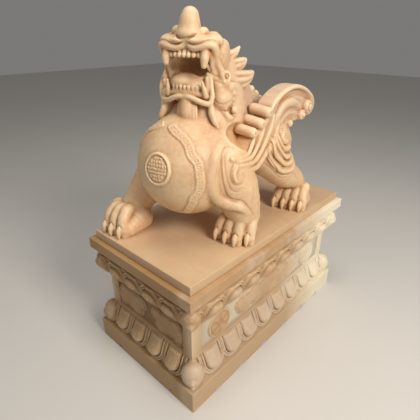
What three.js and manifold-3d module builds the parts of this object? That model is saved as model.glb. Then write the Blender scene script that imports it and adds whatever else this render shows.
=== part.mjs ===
// A guardian pixiu striding on a thin plate, carved from one block of marble,
// standing on a separate marble pedestal with two rows of lotus petals.
// Millimetres, +Z up. The origin is the middle of the pedestal's underside.
// The creature faces -Y and its left side is +X.
import * as THREE from 'three';
import { mergeVertices } from 'three/addons/utils/BufferGeometryUtils.js';
import Module from 'manifold-3d';

const wasm = await Module();
wasm.setup();

// Pedestal sizes
const capLength = 1270; // along the creature
const capWidth = 700; // across it
const capHeight = 53;
const necking = 38; // height of the plain strip below the cap
const upperPetalHeight = 128;
const waistHeight = 160;
const waistInset = 68;
const lowerPetalHeight = 130;
const baseHeight = 112;
const petalInset = 36; // middle of each petal, and face of the necking
const petalFootInset = 29; // face of the core at the round ends of the petals
const petalPitch = 138; // wanted distance from one petal to the next
const petalBulge = 27; // how far a petal stands out from its middle
const reliefProud = 9; // raised work on the waist
const pilasterWidth = 47;
const discRadius = 74;
const footLength = 150; // corner feet at the ends of the apron
const lobeLength = 200; // wanted length of each rounded lobe of the apron
const apronHeight = 24; // from the floor to the cusps between the lobes
const apronDepth = 40;

// Plate and figure sizes
const plateHeight = 42;
const plateInset = 27; // from the edge of the cap to the edge of the plate
const beddingGap = 0.3; // plate to pedestal
const figureHeight = 937; // from the top of the plate to the top of the nose

// Levels, from the floor up
const baseTop = baseHeight;
const waistBottom = baseTop + lowerPetalHeight;
const waistTop = waistBottom + waistHeight;
const neckingBottom = waistTop + upperPetalHeight;
const capBottom = neckingBottom + necking;
const capTop = capBottom + capHeight;
const plateBottom = capTop + beddingGap;
const plateTop = plateBottom + plateHeight;

const unit = figureHeight / 1000; // the figure is laid out in thousandths of its height
const sides = [-1, 1];

function toSolid(geometry) {
  geometry.deleteAttribute('normal');
  geometry.deleteAttribute('uv');
  const merged = mergeVertices(geometry, 1e-4);
  return new wasm.Manifold(new wasm.Mesh({
    numProp: 3,
    vertProperties: new Float32Array(merged.attributes.position.array),
    triVerts: new Uint32Array(merged.index.array),
  }));
}

function toMesh(name, solid, material) {
  const shape = solid.getMesh();
  const geometry = new THREE.BufferGeometry();
  geometry.setAttribute('position', new THREE.BufferAttribute(shape.vertProperties, 3));
  geometry.setIndex(new THREE.BufferAttribute(shape.triVerts, 1));
  geometry.computeVertexNormals();
  const mesh = new THREE.Mesh(geometry, material);
  mesh.name = name;
  return mesh;
}

function join(solids) {
  return wasm.Manifold.union(solids);
}

// A point of the figure, from thousandths of its height
function at([x, y, z]) {
  return new THREE.Vector3(x, y, z).multiplyScalar(unit);
}

function mirrored([x, y, z], side) {
  return [x * side, y, z];
}

// An egg or ball: its middle, its three radii and its turn about X, Y and Z in degrees
function ball(middle, radii, turn = [0, 0, 0], around = 7, high = 5) {
  const geometry = new THREE.SphereGeometry(1, around, high).rotateX(Math.PI / 2);
  geometry.scale(radii[0] * unit, radii[1] * unit, radii[2] * unit);
  geometry.rotateX(THREE.MathUtils.degToRad(turn[0]));
  geometry.rotateY(THREE.MathUtils.degToRad(turn[1]));
  geometry.rotateZ(THREE.MathUtils.degToRad(turn[2]));
  const place = at(middle);
  geometry.translate(place.x, place.y, place.z);
  return toSolid(geometry);
}

function valueAlong(values, t) {
  const place = t * (values.length - 1);
  const index = Math.min(Math.floor(place), values.length - 2);
  return THREE.MathUtils.lerp(values[index], values[index + 1], place - index);
}

// A limb, lock or ridge: a closed cylinder bent along a curve through points, with a
// radius for each point. The section is `flat` times as wide along `across`.
function limb(points, radii, { flat = 1, across = [1, 0.2, 0.1], around = 5, steps = 3 } = {}) {
  const curve = new THREE.CatmullRomCurve3(points.map(at), false, 'centripetal');
  const geometry = new THREE.CylinderGeometry(1, 1, 1, around, steps);
  const position = geometry.attributes.position;
  const wide = new THREE.Vector3(...across);
  for (let i = 0; i < position.count; i += 1) {
    const t = THREE.MathUtils.clamp(position.getY(i) + 0.5, 0, 1);
    const middle = curve.getPoint(t);
    const tangent = curve.getTangent(t);
    const sideways = new THREE.Vector3().crossVectors(tangent, wide).normalize();
    const upward = new THREE.Vector3().crossVectors(sideways, tangent);
    const radius = valueAlong(radii, t) * unit;
    middle.addScaledVector(sideways, position.getX(i) * radius);
    middle.addScaledVector(upward, position.getZ(i) * radius * flat);
    position.setXYZ(i, middle.x, middle.y, middle.z);
  }
  return toSolid(geometry);
}

// A flat plate in the YZ plane, cut from a closed smooth outline of [y, z] points
function slab(outline, middleX, thickness, steps) {
  const points = outline.map(([y, z]) => new THREE.Vector3(y, z, 0).multiplyScalar(unit));
  const curve = new THREE.CatmullRomCurve3(points, true, 'centripetal');
  const shape = new THREE.Shape(curve.getPoints(steps).slice(0, -1));
  const geometry = new THREE.ExtrudeGeometry(shape, {
    depth: thickness * unit,
    steps: 1,
    bevelEnabled: true,
    bevelThickness: thickness * 0.2 * unit,
    bevelSize: thickness * 0.12 * unit,
    bevelOffset: -thickness * 0.12 * unit,
    bevelSegments: 1,
  });
  geometry.translate(0, 0, -thickness * 0.5 * unit);
  geometry.rotateX(Math.PI / 2).rotateZ(Math.PI / 2);
  geometry.translate(middleX * unit, 0, 0);
  return toSolid(geometry);
}

// Chest, trunk, neck and rump
function torso() {
  return [
    ball([0, -307, 352], [238, 238, 238], [0, 0, 0], 16, 10),
    limb([[0, -240, 400], [0, -60, 410], [0, 110, 400], [0, 250, 390]],
      [180, 186, 182, 120], { around: 8, steps: 3 }),
    ball([0, 190, 400], [170, 150, 165], [0, 0, 0], 8, 6),
    ...sides.map((side) => ball([side * 150, -70, 345], [52, 70, 60])), // flanks
    limb([[0, -200, 470], [0, -140, 600], [0, -130, 720], [0, -160, 800]],
      [190, 150, 122, 90], { around: 8, steps: 3, flat: 1.1, across: [0, 1, 0] }),
    limb([[0, -110, 480], [0, -20, 600], [0, -20, 690]], [150, 120, 70], { around: 8, steps: 2 }),
  ];
}

// Scalloped ridge down the spine, from the mane to the tail
function spine() {
  const curve = new THREE.CatmullRomCurve3([
    new THREE.Vector3(0, 70, 665),
    new THREE.Vector3(0, 200, 590),
    new THREE.Vector3(0, 330, 500),
  ]);
  const count = 6;
  const bumps = [];
  for (let i = 0; i < count; i += 1) {
    const place = curve.getPoint(i / (count - 1));
    bumps.push(ball([0, place.y, place.z], [24, 30, 30], [0, 0, 0], 6, 4));
  }
  bumps.push(limb([[0, -20, 620], [0, 190, 560], [0, 330, 470]], [66, 52, 44]));
  return bumps;
}

// Tail: a bunch of curled locks hanging from the rump
function tail() {
  return [
    limb([[0, 280, 430], [0, 370, 440], [0, 440, 370], [0, 440, 270], [0, 480, 190]],
      [50, 56, 58, 50, 12], { steps: 5 }),
    limb([[40, 310, 420], [60, 380, 410], [64, 430, 320], [52, 470, 240]], [30, 34, 32, 8]),
    limb([[-40, 310, 420], [-60, 380, 410], [-64, 430, 320], [-52, 470, 240]], [30, 34, 32, 8]),
  ];
}

// Four clawed toes that run from their tips into the heel of the paw
function paw(tips, heel, heelRadii) {
  const parts = [ball(heel, heelRadii)];
  for (const [x, y] of tips) {
    const back = (heel[0] - x) * 0.2;
    parts.push(limb([[x + back * 2, y + 110, 64], [x + back, y + 34, 84], [x, y + 8, -3]], [25, 26, 11], { steps: 2 }));
  }
  return parts;
}

function legs() {
  return [
    limb([[150, -250, 400], [205, -220, 270], [238, -190, 150], [244, -200, 70]],
      [124, 116, 94, 74], { around: 7, steps: 2 }),
    ...paw([[170, -302], [226, -301], [279, -292], [316, -250]], [244, -190, 50], [84, 84, 62]),
    limb([[-150, -270, 395], [-195, -345, 265], [-232, -430, 150], [-245, -500, 80]],
      [122, 104, 80, 62], { around: 7, steps: 2 }),
    ...paw([[-318, -596], [-282, -624], [-230, -624], [-175, -616]], [-240, -480, 44], [80, 106, 60]),
    ball([165, 70, 400], [122, 140, 170], [-12, 0, 0], 9, 7),
    limb([[185, 90, 330], [215, 180, 230], [238, 280, 165], [240, 312, 70]],
      [112, 92, 60, 58], { around: 7, steps: 2 }),
    ...paw([[170, 197], [221, 211], [271, 222], [315, 236]], [246, 312, 50], [84, 84, 64]),
    ball([-165, 70, 400], [122, 140, 170], [12, 0, 0], 9, 7),
    limb([[-185, 40, 330], [-215, 20, 230], [-238, 70, 150], [-240, 70, 60]],
      [112, 92, 64, 60], { around: 7, steps: 2 }),
    ...paw([[-170, -55], [-220, -42], [-269, -29], [-314, -15]], [-244, 60, 50], [84, 84, 64]),
  ];
}

// Concentric swirls on each haunch and the leaf on each shoulder
function bodyRelief() {
  const relief = [];
  for (const side of sides) {
    for (const [radius, thick] of [[42, 14], [90, 14]]) {
      const points = [];
      for (let i = 0; i <= 6; i += 1) {
        const angle = THREE.MathUtils.degToRad(-65 + i * 45);
        const y = 80 + radius * Math.sin(angle);
        const z = 425 - radius * 1.25 * Math.cos(angle);
        const outX = 165 + 122 * Math.sqrt(Math.max(0.05, 1 - ((y - 75) / 140) ** 2 - ((z - 400) / 172) ** 2));
        points.push([side * (outX - 3), y, z]);
      }
      relief.push(limb(points, [6, thick, thick, thick, thick, thick, 6],
        { around: 3, steps: 5, across: [1, 0, 0] }));
    }
    relief.push(limb([[226, -330, 470], [258, -318, 400], [276, -290, 310], [286, -240, 240], [284, -170, 214]]
      .map((point) => mirrored(point, side)), [12, 18, 20, 18, 8], { around: 4, steps: 4 }));
    relief.push(ball(mirrored([246, -250, 420], side), [20, 24, 24], [0, 0, 0], 6, 4));
  }
  return relief;
}

// Round badge on the chest and the band that frames the chest
function chestRelief() {
  const disc = new THREE.CylinderGeometry(86 * unit, 86 * unit, 30 * unit, 16);
  disc.rotateX(THREE.MathUtils.degToRad(-8)).rotateZ(THREE.MathUtils.degToRad(3));
  disc.scale(1, 1, 1.05);
  const place = at([20, -532, 382]);
  disc.translate(place.x, place.y, place.z);
  const parts = [toSolid(disc)];
  for (const side of sides) {
    const points = [[70, -424, 548], [140, -416, 500], [188, -410, 420], [202, -408, 340], [180, -412, 262],
      [112, -416, 190]].map((point) => mirrored(point, side));
    parts.push(limb(points, [20, 22, 22, 22, 22, 18], { around: 4, steps: 6, across: [0, 1, 0] }));
  }
  return parts;
}

const wingOutline = [[-200, 356], [-97, 332], [-7, 368], [45, 445], [83, 502], [160, 506], [240, 530], [340, 530],
  [432, 519], [448, 566], [392, 638], [250, 692], [140, 686], [30, 632], [-46, 536], [-137, 454], [-210, 410]];

// A wing: a thick plate with feather ridges that run from the root to the tip, rolled
// curls on its leading edge and rolled feather ends behind
function wing(side) {
  const parts = [slab(wingOutline, side * 188, 72, 24)];
  const face = 224;
  const feathers = [
    [[-185, 382], [-60, 400], [20, 500], [110, 590], [260, 630], [392, 596]],
    [[-170, 366], [-40, 380], [40, 478], [110, 555], [250, 590], [412, 566]],
    [[-150, 352], [-30, 362], [52, 452], [120, 520], [250, 556], [404, 542]],
  ];
  for (const feather of feathers) {
    parts.push(limb(feather.map(([y, z]) => [side * face, y, z]), [15, 17, 18, 19, 19, 14],
      { around: 3, steps: 5 }));
  }
  for (const [y, z] of [[4, 584], [-58, 538], [-118, 500]]) {
    parts.push(limb([[side * 136, y + 10, z], [side * 232, y, z]], [28, 28],
      { around: 6, steps: 1, across: [0, 0, 1] }));
  }
  for (const [y, z, radius] of [[404, 592, 36], [330, 560, 34], [268, 540, 28]]) {
    parts.push(limb([[side * 140, y, z], [side * 240, y, z]], [radius, radius],
      { around: 6, steps: 1, across: [0, 0, 1] }));
  }
  parts.push(limb([[side * 120, -60, 400], [side * 190, -140, 385], [side * 222, -190, 385]], [70, 46, 34],
    { steps: 2, across: [0, 0, 1] }));
  return parts;
}

// The head is laid out facing straight ahead and turned a little to its left
const headTurn = 16; // degrees
const headPivot = new THREE.Vector2(0, -240);

function turned([x, y, z]) {
  const place = new THREE.Vector2(x, y).rotateAround(headPivot, THREE.MathUtils.degToRad(headTurn));
  return [place.x, place.y, z];
}

function headBall(middle, radii, tilt = 0, around = 7, high = 5) {
  return ball(turned(middle), radii, [tilt, 0, headTurn], around, high);
}

function headLimb(points, radii, options) {
  return limb(points.map(turned), radii, options);
}

function onSide(points, side) {
  return points.map((point) => mirrored(point, side));
}

// Upper and lower jaw with the open mouth between them
function jaws() {
  const skull = join([
    headBall([0, -222, 790], [112, 112, 108], 0, 9, 7),
    headBall([0, -270, 872], [118, 84, 42], 8, 10, 6),
    headBall([0, -258, 662], [126, 114, 46], -4, 10, 6),
    headBall([0, -222, 720], [116, 92, 74]),
  ]);
  const mouth = headBall([0, -360, 774], [84, 140, 50], 0, 8, 6);
  const parts = [skull.subtract(mouth)];
  parts.push(headBall([0, -296, 716], [66, 76, 32], 14)); // tongue
  for (const side of sides) {
    parts.push(headLimb(onSide([[89, -342, 850], [90, -354, 818], [88, -357, 780]], side), [22, 19, 5], { steps: 2 }));
    parts.push(headLimb(onSide([[82, -326, 656], [86, -352, 696], [84, -362, 728]], side), [17, 14, 4], { steps: 2 }));
  }
  const teeth = 7;
  for (let i = 0; i < teeth; i += 1) {
    const across = (i / (teeth - 1) - 0.5) * 132;
    const bow = 16 * (1 - (across / 80) ** 2);
    parts.push(headLimb([[across * 0.9, -320 - bow, 866], [across, -350 - bow, 806]], [14, 7], { around: 3, steps: 1 }));
    parts.push(headLimb([[across * 0.9, -318 - bow, 650], [across, -348 - bow, 698]], [13, 6], { around: 3, steps: 1 }));
  }
  return parts;
}

// Nose, lips, brows, eyes, cheeks and beard
function face() {
  const parts = [
    headLimb([[0, -300, 872], [0, -300, 915], [0, -300, 955], [0, -300, 985], [0, -300, 1000]], [52, 50, 45, 31, 5],
      { around: 8, steps: 4 }),
    headLimb([[0, -292, 905], [0, -288, 872]], [60, 66], { around: 8, steps: 1 }),
    headLimb([[0, -350, 650], [0, -372, 590], [0, -376, 545], [0, -373, 516]], [44, 44, 32, 12]),
  ];
  for (const side of sides) {
    parts.push(headBall(mirrored([66, -298, 912], side), [24, 30, 22], 0, 6, 4)); // nostril
    parts.push(headBall(mirrored([60, -322, 882], side), [62, 44, 32])); // pad of the upper lip
    parts.push(headLimb(onSide([[2, -362, 866], [42, -374, 844], [84, -364, 848], [120, -330, 858], [130, -294, 818],
      [134, -268, 768], [140, -254, 738]], side), [13, 15, 15, 16, 15, 14, 19],
      { around: 4, steps: 6, across: [0, 1, 0.3] }));
    parts.push(headLimb(onSide([[0, -374, 664], [50, -370, 654], [96, -352, 638], [118, -322, 650], [114, -312, 712]],
      side), [14, 14, 15, 14, 12], { around: 4, steps: 5, across: [0, 1, 0.3] }));
    parts.push(headLimb(onSide([[106, -290, 820], [110, -284, 760], [108, -286, 690]], side), [26, 24, 28],
      { around: 4, steps: 2 })); // corner of the mouth
    parts.push(headBall(mirrored([128, -238, 655], side), [46, 50, 52])); // cheek
    parts.push(headBall(mirrored([94, -246, 884], side), [42, 66, 38], 0, 6, 4)); // brow
    parts.push(headBall(mirrored([108, -256, 838], side), [24, 26, 22], 0, 6, 4)); // eye
  }
  return parts;
}

// Flame-like locks behind the cheeks and brows, and curls under the jaw
function mane() {
  const parts = [];
  const locks = [
    [[[96, -180, 838], [128, -130, 842], [138, -88, 852]], [34, 28, 6]],
    [[[100, -170, 790], [144, -100, 782], [149, -48, 796]], [36, 30, 6]],
    [[[104, -190, 742], [160, -90, 724], [168, 2, 756]], [44, 42, 6]],
    [[[80, -170, 690], [112, -80, 670], [108, -20, 684]], [44, 38, 8]],
    [[[46, -150, 840], [60, -90, 836], [58, -44, 852]], [40, 32, 6]],
    [[[40, -140, 780], [52, -40, 770], [50, 16, 786]], [44, 38, 6]],
    [[[40, -120, 720], [52, 0, 716], [50, 60, 736]], [44, 38, 6]],
    [[[110, -226, 618], [136, -210, 580], [140, -222, 540]], [34, 28, 8]],
    [[[84, -246, 614], [112, -278, 560], [118, -284, 512]], [30, 24, 7]],
    [[[70, -318, 606], [84, -336, 560], [78, -346, 524]], [24, 22, 7]],
  ];
  for (const side of sides) {
    for (const [points, radii] of locks) {
      parts.push(headLimb(onSide(points, side), radii, { steps: 2, flat: 0.85 }));
    }
  }
  return parts;
}

// The creature and the plate under its paws, one stone
function carvePixiu() {
  const plateShape = new THREE.BoxGeometry(capWidth - 2 * plateInset, capLength - 2 * plateInset, plateHeight);
  plateShape.translate(0, 0, -plateHeight / 2);
  return join([
    toSolid(plateShape),
    ...torso(),
    ...spine(),
    ...tail(),
    ...legs(),
    ...bodyRelief(),
    ...chestRelief(),
    ...wing(-1),
    ...wing(1),
    ...jaws(),
    ...face(),
    ...mane(),
  ]);
}

// A level of the pedestal whose faces stand in from the cap's edge by an inset at its
// bottom and another at its top
function course(bottom, top, insetBottom, insetTop) {
  const geometry = new THREE.BoxGeometry(1, 1, 1);
  const position = geometry.attributes.position;
  for (let i = 0; i < position.count; i += 1) {
    const upper = position.getZ(i) > 0;
    const inset = upper ? insetTop : insetBottom;
    position.setXYZ(
      i,
      Math.sign(position.getX(i)) * (capWidth / 2 - inset),
      Math.sign(position.getY(i)) * (capLength / 2 - inset),
      upper ? top : bottom,
    );
  }
  return toSolid(geometry);
}

// One row of lotus petals around the pedestal, with a petal on each corner. The petals
// lean as the face behind them does: `lean` is 1 where their tops lean in, -1 where their
// feet do.
function petalRow(bottom, height, lean) {
  const petals = [];
  const halfX = capWidth / 2 - petalInset;
  const halfY = capLength / 2 - petalInset;
  const tilt = Math.atan2(waistInset - petalFootInset, height);
  const addPetal = (x, y, facing, pitch) => {
    const geometry = new THREE.SphereGeometry(1, 6, 3).rotateX(Math.PI / 2);
    geometry.scale(pitch * 0.44, petalBulge, height * 0.46);
    geometry.rotateX(-lean * tilt).rotateZ(facing).translate(x, y, bottom + height / 2);
    petals.push(toSolid(geometry));
  };
  for (const side of sides) {
    for (const [length, fixed, alongX] of [[halfX, halfY, true], [halfY, halfX, false]]) {
      const intervals = Math.round((2 * length) / petalPitch);
      const pitch = (2 * length) / intervals;
      for (let i = 1; i < intervals; i += 1) {
        const place = -length + i * pitch;
        if (alongX) addPetal(place, side * fixed, side < 0 ? 0 : Math.PI, pitch);
        else addPetal(side * fixed, place, side * (Math.PI / 2), pitch);
      }
    }
    for (const end of sides) {
      addPetal(side * (halfX - 4), end * (halfY - 4), Math.atan2(side, -end), petalPitch * 0.8);
    }
  }
  return petals;
}

// What is cut from under the base so that its apron hangs in shallow rounded lobes
// between the corner feet
function apronCuts() {
  const cuts = [];
  for (const [length, fixed, alongX] of [[capWidth, capLength, true], [capLength, capWidth, false]]) {
    const span = length - 2 * footLength;
    const count = Math.round(span / lobeLength);
    for (const side of sides) {
      const slot = new THREE.BoxGeometry(span, 2 * apronDepth, 2 * apronHeight);
      slot.translate(0, side * (fixed / 2), 0);
      if (!alongX) slot.rotateZ(Math.PI / 2);
      const lobes = [];
      for (let i = 0; i < count; i += 1) {
        const lobe = new THREE.CylinderGeometry(1, 1, 1, 14);
        lobe.scale(span / count / 2, 3 * apronDepth, apronHeight);
        lobe.translate(-span / 2 + (i + 0.5) * (span / count), side * (fixed / 2), apronHeight);
        if (!alongX) lobe.rotateZ(Math.PI / 2);
        lobes.push(toSolid(lobe));
      }
      cuts.push(toSolid(slot).subtract(join(lobes)));
    }
  }
  return join(cuts);
}

// Raised work on the waist: a pilaster at each corner, a disc near both ends of each long
// side with a long cloud between them, and two shorter clouds on each end
function waistRelief() {
  const parts = [];
  const halfX = capWidth / 2 - waistInset;
  const halfY = capLength / 2 - waistInset;
  const middle = (waistBottom + waistTop) / 2;
  const oval = (halfLength, halfHeight, along, side, alongX) => {
    const geometry = new THREE.CylinderGeometry(1, 1, 2 * reliefProud, 8);
    geometry.scale(halfLength, 1, halfHeight);
    geometry.translate(along, side * (alongX ? halfY : halfX), middle);
    if (!alongX) {
      geometry.translate(-along, -side * halfX, 0).rotateZ(Math.PI / 2);
      geometry.translate(side * halfX, along, 0);
    }
    parts.push(toSolid(geometry));
  };
  for (const side of sides) {
    for (const end of sides) {
      const post = new THREE.BoxGeometry(pilasterWidth, pilasterWidth, waistHeight + 2);
      const outward = reliefProud - pilasterWidth / 2;
      post.translate(side * (halfX + outward), end * (halfY + outward), middle);
      parts.push(toSolid(post));
      oval(discRadius, discRadius, end * (halfY - pilasterWidth - discRadius - 52), side, false);
      oval(halfX * 0.38, waistHeight * 0.42, end * halfX * 0.44, side, true);
    }
    oval(halfY * 0.46, waistHeight * 0.42, 0, side, false);
  }
  return parts;
}

// The pedestal, one stone, with its cap, lotus rows, waist and base
function carvePedestal() {
  const knee = petalInset + 6; // inset half-way up each row of petals
  const lowerMiddle = baseTop + lowerPetalHeight / 2;
  const upperMiddle = waistTop + upperPetalHeight / 2;
  const body = join([
    course(capBottom, capTop, 0, 0),
    course(neckingBottom, capBottom + 1, petalInset, petalInset),
    course(upperMiddle, neckingBottom + 1, knee, petalFootInset),
    course(waistTop, upperMiddle + 1, waistInset, knee),
    course(waistBottom - 1, waistTop + 1, waistInset, waistInset),
    course(lowerMiddle - 1, waistBottom, knee, waistInset),
    course(baseTop - 1, lowerMiddle, petalFootInset, knee),
    course(0, baseTop, 0, 0),
    ...waistRelief(),
    ...petalRow(waistTop, upperPetalHeight, -1),
    ...petalRow(baseTop, lowerPetalHeight, 1),
  ]);
  return body.subtract(apronCuts());
}

const polishedMarble = new THREE.MeshStandardMaterial({ color: 0xdcb98e, roughness: 0.38, metalness: 0 });
const tanMarble = new THREE.MeshStandardMaterial({ color: 0xc4a078, roughness: 0.55, metalness: 0 });

const statue = new THREE.Group();
const pixiu = toMesh('pixiu', carvePixiu(), polishedMarble);
pixiu.position.z = plateTop;
statue.add(pixiu);
statue.add(toMesh('pedestal', carvePedestal(), tanMarble));

export default statue;
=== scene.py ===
import math

import bmesh
import bpy
import numpy as np
import openvdb as vdb
from mathutils import Matrix, Vector


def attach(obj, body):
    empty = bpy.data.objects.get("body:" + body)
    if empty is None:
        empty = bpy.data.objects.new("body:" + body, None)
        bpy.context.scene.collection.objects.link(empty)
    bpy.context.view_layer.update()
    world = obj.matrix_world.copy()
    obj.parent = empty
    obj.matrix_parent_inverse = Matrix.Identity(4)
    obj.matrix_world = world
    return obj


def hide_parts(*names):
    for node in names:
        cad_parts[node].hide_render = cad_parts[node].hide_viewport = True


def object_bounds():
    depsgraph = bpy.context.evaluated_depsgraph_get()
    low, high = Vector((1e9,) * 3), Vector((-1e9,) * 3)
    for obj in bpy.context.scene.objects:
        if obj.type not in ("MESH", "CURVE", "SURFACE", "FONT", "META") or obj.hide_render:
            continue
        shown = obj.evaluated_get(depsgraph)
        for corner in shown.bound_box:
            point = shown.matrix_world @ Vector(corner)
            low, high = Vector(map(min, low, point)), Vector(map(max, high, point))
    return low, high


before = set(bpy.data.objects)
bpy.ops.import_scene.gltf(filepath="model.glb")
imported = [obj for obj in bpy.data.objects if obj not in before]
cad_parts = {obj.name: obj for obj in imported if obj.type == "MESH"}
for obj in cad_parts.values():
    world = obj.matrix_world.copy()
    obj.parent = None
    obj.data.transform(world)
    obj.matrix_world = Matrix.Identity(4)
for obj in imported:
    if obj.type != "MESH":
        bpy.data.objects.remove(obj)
cadLow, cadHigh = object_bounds()


def turnMatrix(turn):
    # degrees about X, then Y, then Z
    ax, ay, az = (math.radians(v) for v in turn)
    first, second, third = (Matrix.Rotation(a, 3, axis) for a, axis in ((az, "Z"), (ay, "Y"), (ax, "X")))
    return np.array(first @ second @ third, np.float32)


def smoothPath(points, values, steps):
    # a curve through the points, with the values run along it
    points = np.array(points, np.float64)
    values = np.array(values, np.float64)
    ends = np.vstack([2 * points[0] - points[1], points, 2 * points[-1] - points[-2]])
    path, along = [], []
    for i in range(len(points) - 1):
        a, b, c, d = ends[i:i + 4]
        for k in range(steps):
            t = k / steps
            path.append(0.5 * (2 * b + (c - a) * t + (2 * a - 5 * b + 4 * c - d) * t * t
                               + (3 * b - a - 3 * c + d) * t ** 3))
            along.append(values[i] + (values[i + 1] - values[i]) * t)
    path.append(points[-1])
    along.append(values[-1])
    return np.array(path), np.array(along)


def closedPath(points, steps):
    # the same, run round to its start
    points = list(points)
    path, _ = smoothPath(points[-2:] + points + points[:3], [0] * (len(points) + 5), steps)
    return path[2 * steps:(2 + len(points)) * steps]


def outlineDistance(path, u, v):
    # signed distance to a closed outline, negative inside
    best = np.full(np.broadcast(u, v).shape, 1e9, np.float32)
    inside = np.zeros(best.shape, bool)
    for a, b in zip(path, np.roll(path, -1, 0)):
        eu, ev = b[0] - a[0], b[1] - a[1]
        t = np.clip(((u - a[0]) * eu + (v - a[1]) * ev) / max(eu * eu + ev * ev, 1e-6), 0, 1)
        best = np.minimum(best, (u - a[0] - t * eu) ** 2 + (v - a[1] - t * ev) ** 2)
        if abs(ev) > 1e-9:
            crosses = ((a[1] > v) != (b[1] > v)) & (u < (v - a[1]) * eu / ev + a[0])
            inside ^= crosses
    return np.where(inside, -1, 1) * np.sqrt(best)


def step(low, high, value):
    # soft step from 0 to 1
    t = np.clip((value - low) / (high - low), 0, 1)
    return t * t * (3 - 2 * t)


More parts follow.
